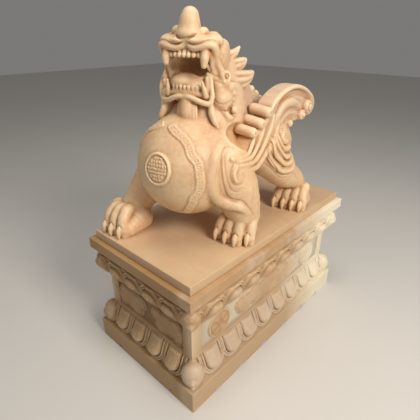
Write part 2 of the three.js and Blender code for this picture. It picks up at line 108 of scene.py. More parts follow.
class Clay:
    # stone as signed distances on a grid, negative inside; shapes are added and cut with a soft blend

    def __init__(self, low, high, spacing):
        self.low = np.array(low, np.float32)
        self.spacing = spacing
        self.size = [int((high[i] - low[i]) / spacing) + 1 for i in range(3)]
        self.axes = [(low[i] + spacing * np.arange(self.size[i])).astype(np.float32) for i in range(3)]
        farAway = 60.0
        self.field = np.full(self.size, farAway, np.float32)

    def part(self, low, high, margin=12):
        # the part of the grid around a box, with its coordinates
        cut = []
        for i in range(3):
            start = int((low[i] - margin - self.low[i]) / self.spacing)
            stop = int((high[i] + margin - self.low[i]) / self.spacing) + 2
            cut.append(slice(max(0, start), max(1, min(self.size[i], stop))))
        x, y, z = (self.axes[i][cut[i]] for i in range(3))
        return tuple(cut), x[:, None, None], y[None, :, None], z[None, None, :]

    def add(self, cut, shape, blend=8):
        old = self.field[cut]
        h = np.clip(0.5 + 0.5 * (old - shape) / blend, 0, 1)
        self.field[cut] = old + (shape - old) * h - blend * h * (1 - h)

    def take(self, cut, shape, blend=4):
        old = self.field[cut]
        h = np.clip(0.5 - 0.5 * (old + shape) / blend, 0, 1)
        self.field[cut] = old - (shape + old) * h + blend * h * (1 - h)

    def egg(self, middle, radii, turn=(0, 0, 0), blend=10, hollow=False):
        axes = turnMatrix(turn)
        radii = np.array(radii, np.float32)
        reach = np.sqrt(((axes * radii) ** 2).sum(1))
        middle = np.array(middle, np.float32)
        cut, x, y, z = self.part(middle - reach, middle + reach, blend + 3 * self.spacing)
        offset = [x - middle[0], y - middle[1], z - middle[2]]
        near = far = 0
        for k in range(3):
            local = axes[0, k] * offset[0] + axes[1, k] * offset[1] + axes[2, k] * offset[2]
            near = near + (local / radii[k]) ** 2
            far = far + (local / radii[k] ** 2) ** 2
        near = np.sqrt(near)
        shape = near * (near - 1) / np.maximum(np.sqrt(far), 1e-6)
        (self.take if hollow else self.add)(cut, shape, blend)

    def limb(self, points, radii, blend=10, flat=1, across=(1, 0.2, 0.1), steps=4, hollow=False):
        # a round bar along a curve; its section is flat times as wide along across
        path, width = smoothPath(points, radii, steps)
        reach = max(width) * max(1, flat)
        cut, x, y, z = self.part(path.min(0) - reach, path.max(0) + reach, blend + 3 * self.spacing)
        across = np.array(across, float)
        best = None
        for i in range(len(path) - 1):
            a, e = path[i], path[i + 1] - path[i]
            length = float(e @ e)
            if length < 1e-6:
                continue
            t = np.clip(((x - a[0]) * e[0] + (y - a[1]) * e[1] + (z - a[2]) * e[2]) / length, 0,
                        1).astype(np.float32)
            ox, oy, oz = x - a[0] - t * e[0], y - a[1] - t * e[1], z - a[2] - t * e[2]
            square = ox * ox + oy * oy + oz * oz
            if flat != 1:
                wide = across[i] if across.ndim == 2 else across
                wide = wide - e * (wide @ e) / length
                wide = wide / np.linalg.norm(wide)
                aside = ox * wide[0] + oy * wide[1] + oz * wide[2]
                square = square + aside * aside * (1 / flat ** 2 - 1)
            shape = np.sqrt(np.maximum(square, 0)) - (width[i] + (width[i + 1] - width[i]) * t)
            best = shape if best is None else np.minimum(best, shape)
        (self.take if hollow else self.add)(cut, best.astype(np.float32), blend)

    def at(self, points):
        # the field at any points
        place = (np.atleast_2d(points) - self.low) / self.spacing
        place = np.clip(place, 0, np.array(self.size) - 1.001)
        base = place.astype(int)
        t = place - base
        shares = (1 - t, t)
        value = 0
        for i in (0, 1):
            for j in (0, 1):
                for k in (0, 1):
                    weight = shares[i][:, 0] * shares[j][:, 1] * shares[k][:, 2]
                    value = value + weight * self.field[base[:, 0] + i, base[:, 1] + j, base[:, 2] + k]
        return value

    def land(self, points, direction, sink=0, reach=260):
        # moves each point along a direction until it meets the stone, and sink deeper
        direction = np.array(direction, float) / np.linalg.norm(direction)
        stride = 2.0
        travel = np.arange(0, reach, stride)
        found = []
        for point in np.array(points, float):
            values = self.at(point + travel[:, None] * direction)
            hits = np.nonzero(values < 0)[0]
            t = travel[hits[0]] if len(hits) else 0
            if len(hits) and hits[0] > 0:
                before, after = values[hits[0] - 1], values[hits[0]]
                t = travel[hits[0] - 1] + stride * before / (before - after)
            found.append(point + direction * (t + sink))
        return np.array(found)

    def trace(self, points, direction, radius, sink=0, blend=3, hollow=False, steps=5):
        # a ridge or groove drawn on the surface
        radii = radius if np.ndim(radius) else [radius] * len(points)
        path, width = smoothPath(points, radii, steps)
        path = self.land(path, direction, sink)
        self.limb(path, width, blend, steps=1, hollow=hollow)

    def crowding(self, points, reach):
        # share of stone around each point, 0.5 on a plane and more in a crevice
        solid = np.clip(0.5 - self.field / (2 * self.spacing), 0, 1)
        span = max(1, int(reach / self.spacing))
        for axis in range(3):
            margins = [(span + 1, span) if i == axis else (0, 0) for i in range(3)]
            total = np.cumsum(np.pad(solid, margins, mode="edge"), axis=axis, dtype=np.float32)
            high = [slice(None)] * 3
            low = [slice(None)] * 3
            high[axis] = slice(2 * span + 1, None)
            low[axis] = slice(0, -(2 * span + 1))
            solid = (total[tuple(high)] - total[tuple(low)]) / (2 * span + 1)
        place = np.clip((points - self.low) / self.spacing + 0.5, 0, np.array(self.size) - 1).astype(int)
        return solid[place[:, 0], place[:, 1], place[:, 2]]

    def mesh(self, name, place, limit, crease=60):
        # the surface as a mesh of at most limit triangles; place maps grid points to metres
        band = 4 * self.spacing
        grid = vdb.FloatGrid(band)
        grid.copyFromArray(np.ascontiguousarray(np.clip(self.field, -band, band)))
        points, triangles, quads = grid.convertToPolygons(isovalue=0.0, adaptivity=0.0)
        local = points * self.spacing + self.low
        mesh = bpy.data.meshes.new(name)
        mesh.vertices.add(len(points))
        mesh.vertices.foreach_set("co", place(local).astype(np.float32).ravel())
        corners = np.concatenate([triangles[:, ::-1].ravel(), quads[:, ::-1].ravel()]).astype(np.int32)
        starts = np.concatenate([3 * np.arange(len(triangles)),
                                 3 * len(triangles) + 4 * np.arange(len(quads))]).astype(np.int32)
        mesh.loops.add(len(corners))
        mesh.loops.foreach_set("vertex_index", corners)
        mesh.polygons.add(len(starts))
        mesh.polygons.foreach_set("loop_start", starts)
        mesh.update(calc_edges=True)
        mesh.validate()
        obj = bpy.data.objects.new(name, mesh)
        bpy.context.scene.collection.objects.link(obj)
        count = len(triangles) + 2 * len(quads)
        if count > limit:
            shrink = obj.modifiers.new("fewer", "DECIMATE")
            shrink.ratio = limit / count
            evaluated = obj.evaluated_get(bpy.context.evaluated_depsgraph_get())
            obj.data = bpy.data.meshes.new_from_object(evaluated)
            obj.modifiers.clear()
        obj.data.polygons.foreach_set("use_smooth", np.ones(len(obj.data.polygons), bool))
        obj.data.set_sharp_from_angle(angle=math.radians(crease))
        print(name, "clay", count, "triangles, kept", sum(len(p.vertices) - 2 for p in obj.data.polygons))
        return obj


def addFloats(mesh, name, values):
    layer = mesh.attributes.new(name, "FLOAT", "POINT")
    layer.data.foreach_set("value", np.asarray(values, np.float32))


def meshPoints(mesh):
    points = np.empty(len(mesh.vertices) * 3, np.float32)
    mesh.vertices.foreach_get("co", points)
    return points.reshape(-1, 3)


# the creature is carved in thousandths of its height, from the middle of the plate's top
pixiu = {
    "height": 0.937,  # m, plate's top to the top of the nose
    "plateTop": 0.6633,  # m above the floor
    "plateThickness": 0.042,
    "plateInset": 0.027,  # from the cap's edge
    "arris": 0.004,  # rounding of the plate's edges
    "grain": 3.0,  # grid spacing
    "triangles": 190000,
    "headTurn": 16,  # degrees to its left
    "headPivot": (0, -240),
    "headWide": 1.065, "headShift": -6,
    "chest": (0, -307, 352), "chestRadius": 238,
    "badgeRadius": 67, "badgeStrokes": 7, "strokePitch": 14,
    "bandWidth": 48, "keyPitch": 30,
    "teeth": 7, "beardStrands": 9, "spineBeads": 8,
    "creviceReach": 16,  # how far round a point the hollows are felt
}
sides = (-1, 1)
clay = Clay((-348, -668, -14), (348, 612, 1012), pixiu["grain"])


def sided(points, side):
    # points given for the side at +X, moved to either side
    return [(side * p[0], p[1], p[2]) for p in points]


def carveTorso():
    clay.egg(pixiu["chest"], [pixiu["chestRadius"]] * 3, blend=4)
    clay.limb([(0, -240, 400), (0, -60, 410), (0, 110, 400), (0, 250, 390)], [178, 184, 180, 118], blend=20)
    clay.egg((0, 190, 400), (168, 150, 163), blend=20)
    for side in sides:
        clay.egg((side * 150, -70, 345), (50, 70, 60), blend=24)
    clay.limb([(0, -200, 470), (0, -140, 600), (0, -130, 720), (0, -160, 800)], [186, 148, 120, 88],
              blend=26, flat=1.08, across=(0, 1, 0))
    clay.limb([(0, -110, 480), (0, -20, 600), (0, -20, 690)], [146, 116, 66], blend=26)


def carveSpine():
    # a ridge of beads down the back, between two grooves
    clay.limb([(0, -20, 622), (0, 190, 560), (0, 330, 470)], [62, 48, 40], blend=18)
    ridge, _ = smoothPath([(0, 55, 668), (0, 130, 640), (0, 215, 582), (0, 300, 520),
                           (0, 345, 486)], [0] * 5, 6)
    lengths = np.concatenate([[0], np.cumsum(np.linalg.norm(np.diff(ridge, axis=0), axis=1))])
    count = pixiu["spineBeads"]
    for i in range(count):
        spot = [np.interp(i / (count - 1) * lengths[-1], lengths, ridge[:, k]) for k in range(3)]
        clay.egg((0, spot[1], spot[2]), (22, 27, 31), turn=(-35, 0, 0), blend=4)
    for side in sides:
        clay.trace(sided([(42, 40, 760), (40, 150, 760), (34, 250, 760), (26, 340, 760)], side), (0, 0, -1), 5,
                   blend=4, hollow=True)


def carveTail():
    # a thick middle strand with three pairs of locks that hang over it
    clay.limb([(0, 280, 430), (0, 370, 440), (0, 440, 370), (0, 440, 270), (0, 480, 190)],
              [50, 56, 54, 44, 10], blend=14)
    for side in sides:
        clay.limb(sided([(30, 300, 440), (58, 380, 424), (68, 440, 330), (54, 462, 260), (70, 496, 214)], side),
                  [26, 32, 32, 24, 8], blend=5)
        clay.limb(sided([(60, 270, 400), (92, 340, 370), (98, 376, 290), (84, 384, 226), (96, 414, 190)], side),
                  [26, 32, 30, 22, 8], blend=5)
        clay.limb(sided([(20, 330, 470), (30, 400, 476), (34, 452, 420), (30, 478, 350), (20, 500, 300)], side),
                  [22, 26, 26, 20, 8], blend=4)
        clay.trace(sided([(44, 640, 410), (52, 640, 340), (44, 640, 270)], side), (0, -1, 0), 4,
                   blend=3, hollow=True)


def carvePaw(tips, heel, heelRadii):
    # arched toes with a knuckle, a last joint, a claw in its cuticle and a pad each
    clay.egg(heel, heelRadii, blend=16)
    middle = np.mean(tips, axis=0)
    clay.egg((middle[0], middle[1] + 66, 56), (np.ptp(np.array(tips)[:, 0]) / 2 + 10, 52, 52), blend=12)
    for x, y in tips:
        back = (heel[0] - x) * 0.2
        clay.limb([(x + back * 2.8, y + 124, 104), (x + back * 1.6, y + 74, 122), (x + back * 0.6, y + 36, 92),
                   (x + back * 0.1, y + 20, 44)],
                  [20, 29, 28, 24], blend=4)
        clay.egg((x + back * 1.5, y + 68, 128), (27, 28, 22), blend=8)  # knuckle
        clay.egg((x + back * 0.4, y + 26, 66), (28, 25, 25), blend=6)  # last joint
        # claw
        clay.limb([(x + back * 0.2, y + 10, 66), (x, y - 3, 44), (x, y - 7, 22), (x, y - 7, 0)],
                  [11, 13, 10, 4], blend=1.5)
        clay.limb([(x - 15, y + 14, 40), (x - 10, y + 4, 62), (x, y, 74), (x + 10, y + 4, 62),
                   (x + 15, y + 14, 40)], [3] * 5, blend=1.5, hollow=True)
        clay.limb([(x, y + 22, 44), (x, y + 26, 12)], [24, 21], blend=6)  # pad


def carveLegs():
    clay.limb([(150, -250, 400), (205, -220, 270), (240, -194, 150), (246, -204, 80)],
              [120, 112, 86, 66], blend=24)
    carvePaw([(172, -302), (228, -301), (280, -292), (320, -250)], (244, -186, 52), (70, 72, 62))
    for side in sides:
        clay.egg((side * 214, -172, 498), (74, 100, 68), blend=8, hollow=True)  # sunk flank before the wing
    clay.limb([(-150, -270, 395), (-195, -345, 265), (-232, -430, 150), (-245, -500, 80)],
              [118, 100, 78, 60], blend=24)
    carvePaw([(-318, -596), (-282, -624), (-230, -624), (-175, -616)], (-240, -480, 46), (76, 104, 62))
    clay.limb([(-200, -470, 56), (-176, -560, 38)], [66, 42], blend=14)
    clay.egg((165, 74, 394), (118, 134, 154), turn=(-12, 0, 0), blend=22)
    clay.limb([(185, 90, 330), (215, 180, 230), (238, 280, 165), (240, 312, 80)], [106, 80, 52, 52], blend=24)
    carvePaw([(170, 197), (221, 211), (271, 222), (315, 236)], (246, 312, 50), (78, 80, 62))
    clay.egg((-165, 74, 394), (118, 134, 154), turn=(12, 0, 0), blend=22)
    clay.limb([(-185, 40, 330), (-215, 20, 230), (-238, 70, 150), (-240, 70, 60)], [108, 88, 62, 58], blend=24)
    carvePaw([(-170, -55), (-220, -42), (-269, -29), (-314, -15)], (-244, 60, 50), (78, 80, 62))


def carveWing(side):
    # a slab with the wing's outline, with its feathers, curls and ribs laid on the outer face
    outline = closedPath([(-226, 356), (-169, 342), (-110, 337), (-57, 358), (-21, 382), (11, 428), (52, 466),
                          (110, 480), (170, 480), (196, 500), (240, 502), (300, 510), (345, 508), (390, 518),
                          (414, 560), (388, 612), (301, 656), (236, 677), (164, 680), (92, 664), (38, 638),
                          (0, 606), (-22, 560), (-72, 520), (-130, 486), (-170, 436), (-226, 420)], 4)
    cut, x, y, z = clay.part((side * 196 - 60, -235, 325), (side * 196 + 60, 425, 690), 20)
    taper = np.clip((y - 180) / 220, 0, 1)  # thinner and further out towards the end
    rounding = 12
    a = outlineDistance(outline, y, z) + rounding
    b = np.abs(x - side * (195 + 12 * taper)) - 45 + 14 * taper + rounding
    slab = np.sqrt(np.maximum(a, 0) ** 2 + np.maximum(b, 0) ** 2) + np.minimum(np.maximum(a, b), 0) - rounding
    clay.add(cut, slab.astype(np.float32), 10)
    clay.limb([(side * 130, -60, 400), (side * 196, -140, 385), (side * 232, -196, 392)],
              [64, 44, 34], blend=18)

    def strip(points, radius, blend=3, hollow=False):
        # a rounded rib or a groove along the wing's face
        clay.limb(sided(points, side), np.broadcast_to(radius, len(points)), blend=blend, hollow=hollow)

    # hollow face of the big feather, with the rim that curls over at its end
    strip([(250, 44, 572), (252, 74, 606), (253, 122, 634), (253, 180, 646), (252, 240, 640), (250, 300, 618),
           (246, 350, 588), (244, 372, 560)],
          [18, 24, 25, 25, 25, 22, 18, 12], blend=4, hollow=True)
    strip([(236, -14, 556), (236, 6, 600), (236, 40, 626), (236, 92, 652), (236, 164, 669), (236, 236, 665),
           (236, 301, 645), (232, 374, 604), (228, 400, 562), (226, 378, 524)], 9, blend=2)
    # second and third feathers, rounded, one under the other
    strip([(226, -20, 440), (226, 24, 500), (228, 58, 556), (230, 100, 592), (230, 160, 602), (230, 222, 584),
           (230, 262, 560)],
          [20, 22, 24, 24, 25, 22, 14], blend=3)
    strip([(226, 20, 440), (228, 60, 490), (230, 92, 528), (230, 140, 552), (230, 196, 548), (228, 240, 530)],
          [16, 17, 17, 17, 16, 12], blend=2)
    strip([(226, 50, 450), (230, 90, 484), (230, 130, 508), (228, 164, 510)], [14, 14, 14, 12], blend=2)
    for points in ([(255, 44, 520), (255, 76, 560), (256, 118, 578), (256, 176, 574), (256, 226, 556)],
                   [(254, 76, 488), (256, 108, 518), (256, 146, 530), (254, 190, 526)]):
        strip(points, 5, blend=2, hollow=True)
    # curled ends of the feathers, and the three curls on the leading edge
    for y0, z0, r, near in ((312, 560, 38, 236), (262, 528, 27, 240), (162, 500, 19, 240)):
        strip([(166, y0 + 6, z0 + 4), (near, y0, z0)], r, blend=2)
        ring = [(near + r * 0.78, y0 + r * 0.55 * math.cos(t), z0 + r * 0.55 * math.sin(t))
                for t in (0.4, 1.5, 2.6, 3.7, 4.8, 5.8)]
        strip(ring, 3, blend=1.5, hollow=True)
    for y0, z0, r in ((-20, 578, 25), (-72, 534, 25), (-128, 503, 24)):
        strip([(158, y0 - 8, z0 + 10), (228, y0, z0)], r, blend=2)
        clay.egg((side * (230 + r), y0, z0), (9, 12, 12), blend=4, hollow=True)
    # four ribs from the shoulder, rising into the feathers
    ribs = [
        ([(276, -262, 372), (274, -200, 360), (262, -140, 352), (250, -90, 362), (244, -40, 392),
          (243, 2, 434), (242, 40, 488), (240, 62, 530)], 16),
        ([(274, -262, 393), (272, -200, 386), (258, -140, 386), (248, -90, 408), (243, -48, 450),
          (242, -10, 508), (240, 14, 560)], 14),
        ([(270, -260, 410), (268, -200, 408), (254, -150, 416), (246, -112, 444), (242, -76, 494),
          (238, -50, 530)], 12),
        ([(266, -258, 424), (262, -204, 426), (250, -166, 440), (242, -140, 466), (238, -122, 492)], 9),
    ]
    for points, radius in ribs:
        strip(points, [radius * 0.7] + [radius] * (len(points) - 2) + [radius * 0.6], blend=2)


def carveHaunch(side):
    # cushion-like rings one inside the other, with sharp creases between them and a leaf line round them
    def draw(points, radius, sink=0, blend=3, hollow=False):
        outside = side * 345
        clay.trace([(outside, y, z) for y, z in points], (-side, 0, 0), radius, sink, blend, hollow, steps=4)

    rings = [
        [(84, 474), (62, 466), (60, 444), (76, 430), (94, 440)],
        [(30, 480), (32, 444), (50, 412), (76, 396), (108, 394), (136, 404)],
        [(16, 468), (16, 432), (36, 396), (68, 361), (104, 352), (146, 354)],
        [(-2, 452), (2, 410), (22, 370), (62, 330), (98, 316), (138, 324), (180, 348)],
        [(-20, 420), (-14, 374), (14, 330), (62, 288), (108, 274), (154, 282), (196, 306)],
    ]
    for points, radius in zip(rings, (15, 15, 15, 15, 14)):
        draw(points, [radius * 0.6] + [radius] * (len(points) - 2) + [radius * 0.5], sink=4)
    creases = [
        [(80, 484), (40, 466), (48, 430), (72, 415), (98, 416)],
        [(24, 478), (21, 446), (38, 411), (64, 379), (102, 372), (144, 366)],
        [(8, 462), (9, 418), (33, 381), (69, 343), (106, 333), (150, 338), (176, 352)],
        [(-12, 440), (-9, 401), (8, 362), (49, 321), (84, 300), (116, 301), (158, 314), (196, 336)],
        [(-40, 410), (-30, 380), (-12, 350), (20, 306), (68, 262), (116, 250), (156, 250),
         (190, 230), (224, 192)],
    ]
    for points in creases:
        draw(points, 4, blend=2, hollow=True)
    draw([(-22, 330), (30, 282), (78, 240), (120, 232), (160, 232), (196, 208)], 3, blend=2, hollow=True)


def carveShoulder(side):
    # the pad with its thick rounded rim behind the band, and the ornaments in it
    clay.egg((side * 194, -268, 338), (84, 104, 128), blend=14)
    rim = [(238, -262, 432), (197, -222, 444), (196, -262, 462), (198, -318, 462), (203, -352, 440),
           (202, -368, 406), (202, -378, 360), (203, -368, 300), (212, -340, 250), (246, -308, 220),
           (288, -276, 206), (300, -240, 170)]
    widths = [8, 16, 20, 25, 29, 32, 34, 34, 32, 28, 22, 12]
    if side == -1:  # the far leg strides forward
        rim, widths = rim[:-2], widths[:-3] + [16]
    clay.limb(sided(rim, side), widths, blend=8)

    outward = np.array([0.6 * side, -0.73, 0.32])  # towards the front quarter

    def draw(points, radius, sink=0, blend=2, hollow=True):
        away = outward * 110
        clay.trace([np.array([side * p[0], p[1], p[2]]) + away for p in points], -away, radius, sink,
                   blend, hollow)

    draw([(226, -235, 450), (216, -290, 472), (232, -334, 462), (228, -338, 414), (231, -334, 343),
          (240, -314, 269), (260, -298, 246), (296, -274, 238), (311, -245, 204), (315, -205, 150)],
         [3, 4, 4.5, 4.5, 4.5, 4.5, 4, 4, 4, 3])
    draw([(238, -300, 462), (242, -332, 452), (240, -332, 411), (246, -322, 343), (260, -306, 292),
          (284, -292, 284), (292, -280, 300)],
         [2.4, 3.2, 3.4, 3.4, 3.4, 3.2, 2.2])
    ball = clay.land([np.array([side * 262, -308, 430]) + outward * 90], -outward)[0]
    clay.egg(ball, (11, 11, 12), blend=2)
    draw([(264, -268, 396), (270, -290, 388), (276, -310, 364), (284, -306, 338), (284, -286, 330)],
         [4, 8, 10, 9, 4], sink=1, hollow=False)
    draw([(266, -260, 396), (262, -286, 410), (262, -310, 392), (266, -324, 360), (278, -314, 322),
          (294, -282, 318), (296, -262, 340), (284, -272, 372)], [2.4, 3.4, 3.6, 3.6, 3.4, 3.2, 2.8, 2])


def carveBand(side):
    # a band with a key pattern that frames the chest
    middle = np.array(pixiu["chest"])
    path, _ = smoothPath([(30, -434, 556), (56, -438, 540), (108, -440, 518), (140, -440, 490),
                          (158, -442, 458), (186, -435, 426), (195, -434, 386), (199, -433, 346),
                          (191, -435, 300), (170, -448, 268), (158, -446, 240), (118, -430, 190),
                          (96, -420, 170)], [0] * 13, 4)
    away = np.array([0.35 * side, -0.9, 0.2]) * 120
    points = clay.land([np.array([side * p[0], p[1], p[2]]) + away for p in path], -away)
    wide = []
    for i in range(len(points) - 1):
        across = np.cross(points[i + 1] - points[i], points[i] - middle)
        wide.append(across / np.linalg.norm(across))
    wide.append(wide[-1])
    out = (points - middle) / np.linalg.norm(points - middle, axis=1)[:, None]
    wide = np.array(wide)
    clay.limb(points, [6] * len(points), blend=2, flat=3.7, across=wide, steps=1)
    edge = pixiu["bandWidth"] / 2
    for offset, lift, radius in ((-edge, 1, 3.4), (edge, 1, 3.4), (8 - edge, 6.5, 2.6), (edge - 8, 6.5, 2.6)):
        clay.limb(points + wide * offset + out * lift, [radius] * len(points), blend=1.5, steps=1, hollow=True)
    # key pattern of small square hooks
    lengths = np.concatenate([[0], np.cumsum(np.linalg.norm(np.diff(points, axis=0), axis=1))])
    for k in range(int((lengths[-1] - 10) / pixiu["keyPitch"])):
        hook = []
        for along, aside in ((0, -9), (0, 9), (20, 9), (20, -5), (10, -5), (10, 2)):
            s = 8 + k * pixiu["keyPitch"] + along
            i = min(int(np.searchsorted(lengths, s)), len(points) - 1)
            spot = np.array([np.interp(s, lengths, points[:, j]) for j in range(3)])
            hook.append(spot + wide[i] * aside + out[i] * 6)
        for a, b in zip(hook[:-1], hook[1:]):
            clay.limb([a, b], [3.6, 3.6], blend=1, steps=1, hollow=True)


def carveBadge():
    # a round badge that follows the chest, with a thin raised rim and plain strokes that are no letters
    axes = turnMatrix((-10, 0, 11))
    rim, pitch, rows = pixiu["badgeRadius"], pixiu["strokePitch"], pixiu["badgeStrokes"]
    first = -(rows // 2)
    chest = np.array(pixiu["chest"], np.float32)
    middle = np.array([45, -537, 393], np.float32)
    cut, x, y, z = clay.part(middle - 90, middle + 90, 10)
    offset = (x - middle[0], y - middle[1], z - middle[2])
    u, w, v = (axes[0, k] * offset[0] + axes[1, k] * offset[1] + axes[2, k] * offset[2] for k in range(3))
    radius = np.sqrt(u * u + (v / 1.08) ** 2)
    out = np.sqrt((x - chest[0]) ** 2 + (y - chest[1]) ** 2 + (z - chest[2]) ** 2) - pixiu["chestRadius"]
    face = 6.5 + 4.5 * step(rim - 12, rim - 9, radius) * (1 - step(rim - 4, rim, radius))
    face = face - 3 * (np.abs(radius - (rim - 15)) < 2.5)
    strokes = ((5.2, 1.6), (1.6, 4.8), (1.6, 2.4))  # half width and half height: lying, standing, short
    kinds = np.random.default_rng(5).integers(0, 3, (rows, rows))
    for row in range(first, first + rows):
        half = math.sqrt((rim - 17) ** 2 - (row * pitch) ** 2)
        for k in range(first, first + rows):
            halfWidth, halfHeight = strokes[kinds[row - first, k - first]]
            if abs(k * pitch) > half - 6:
                continue
            du = np.abs(u - k * pitch - 3 * (row % 2)) - halfWidth
            dv = np.abs(v / 1.08 - row * pitch - 2 * (k % 2)) - halfHeight
            face = face + 4 * (1 - step(0, 3, np.maximum(du, dv)))
    disc = np.maximum(radius - rim, np.maximum(out - face, -14 - out))
    clay.add(cut, disc.astype(np.float32), 1.5)


def headTurned(point):
    # a point of the head, drawn facing forward, on the head as it is turned
    angle = math.radians(pixiu["headTurn"])
    px, py = pixiu["headPivot"]
    dx, dy = point[0] * pixiu["headWide"] + pixiu["headShift"] - px, point[1] - py
    return (px + dx * math.cos(angle) - dy * math.sin(angle),
            py + dx * math.sin(angle) + dy * math.cos(angle), point[2])


def headVector(vector):
    angle = math.radians(pixiu["headTurn"])
    return (vector[0] * math.cos(angle) - vector[1] * math.sin(angle),
            vector[0] * math.sin(angle) + vector[1] * math.cos(angle), vector[2])


def headEgg(middle, radii, tilt=0, blend=10, hollow=False, roll=0):
    clay.egg(headTurned(middle), radii, (tilt, roll, pixiu["headTurn"]), blend, hollow)


def headLimb(points, radii, blend=8, flat=1, across=(1, 0, 0), steps=4, hollow=False):
    clay.limb([headTurned(p) for p in points], radii, blend, flat, headVector(across), steps, hollow)


def headTrace(points, direction, radius, sink=0, blend=3, hollow=False):
    clay.trace([headTurned(p) for p in points], headVector(direction), radius, sink, blend, hollow)


def carveSkull():
    # the mass of the head, with the open mouth and the tongue in it
    headEgg((0, -222, 790), (108, 108, 104))
    headEgg((0, -262, 864), (112, 80, 38), 8, blend=14)
    headEgg((0, -252, 660), (112, 100, 46), -4, blend=14)
    headEgg((0, -222, 720), (112, 88, 72), blend=16)
    for side in sides:
        headEgg((side * 96, -238, 768), (28, 64, 88), blend=10)  # cheek wall
    headEgg((0, -380, 776), (94, 178, 60), blend=4, hollow=True)  # the open mouth
    headEgg((-44, -330, 776), (62, 66, 52), blend=4, hollow=True)
    headEgg((-28, -290, 716), (64, 60, 36), 6, blend=5)  # tongue
    headEgg((30, -290, 705), (60, 60, 33), 6, blend=14)
    headTrace([(0, -360, 900), (0, -300, 900), (0, -240, 900)], (0, 0, -1), 3, blend=3, hollow=True)


def carveMouth():
    count = pixiu["teeth"]
    # gums
    headLimb([(-80, -308, 846), (-40, -322, 848), (0, -322, 848), (40, -322, 848), (80, -308, 846)],
             [15, 15, 12, 15, 15], blend=4)
    headLimb([(-72, -304, 832), (-40, -316, 834), (0, -318, 834), (40, -316, 834), (72, -304, 832)],
             [11] * 5, blend=4)
    headLimb([(-86, -318, 668), (-44, -336, 676), (0, -342, 680), (44, -336, 676), (86, -318, 668)],
             [13, 15, 15, 15, 13], blend=4)
    for i in range(count):
        across = (i / (count - 1) - 0.5) * 120
        bow = 16 * (1 - (across / 80) ** 2)
        headLimb([(across, -322 - bow, 838), (across, -332 - bow, 824)], [10.5, 9.8], blend=1.2, steps=1)
        headLimb([(across * 0.86, -330 - bow, 686), (across * 0.86, -334 - bow, 702)], [9.5, 7.5],
                 blend=1.2, steps=1)
    for side in sides:
        headLimb(sided([(82, -330, 842), (85, -340, 814), (84, -344, 788 + (7 if side == -1 else 0))], side),
                 [18.5, 18, 12.5], blend=2)
        headLimb(sided([(86, -330, 668), (82, -342, 700), (77, -349, 728)], side), [13, 9, 3], blend=2)


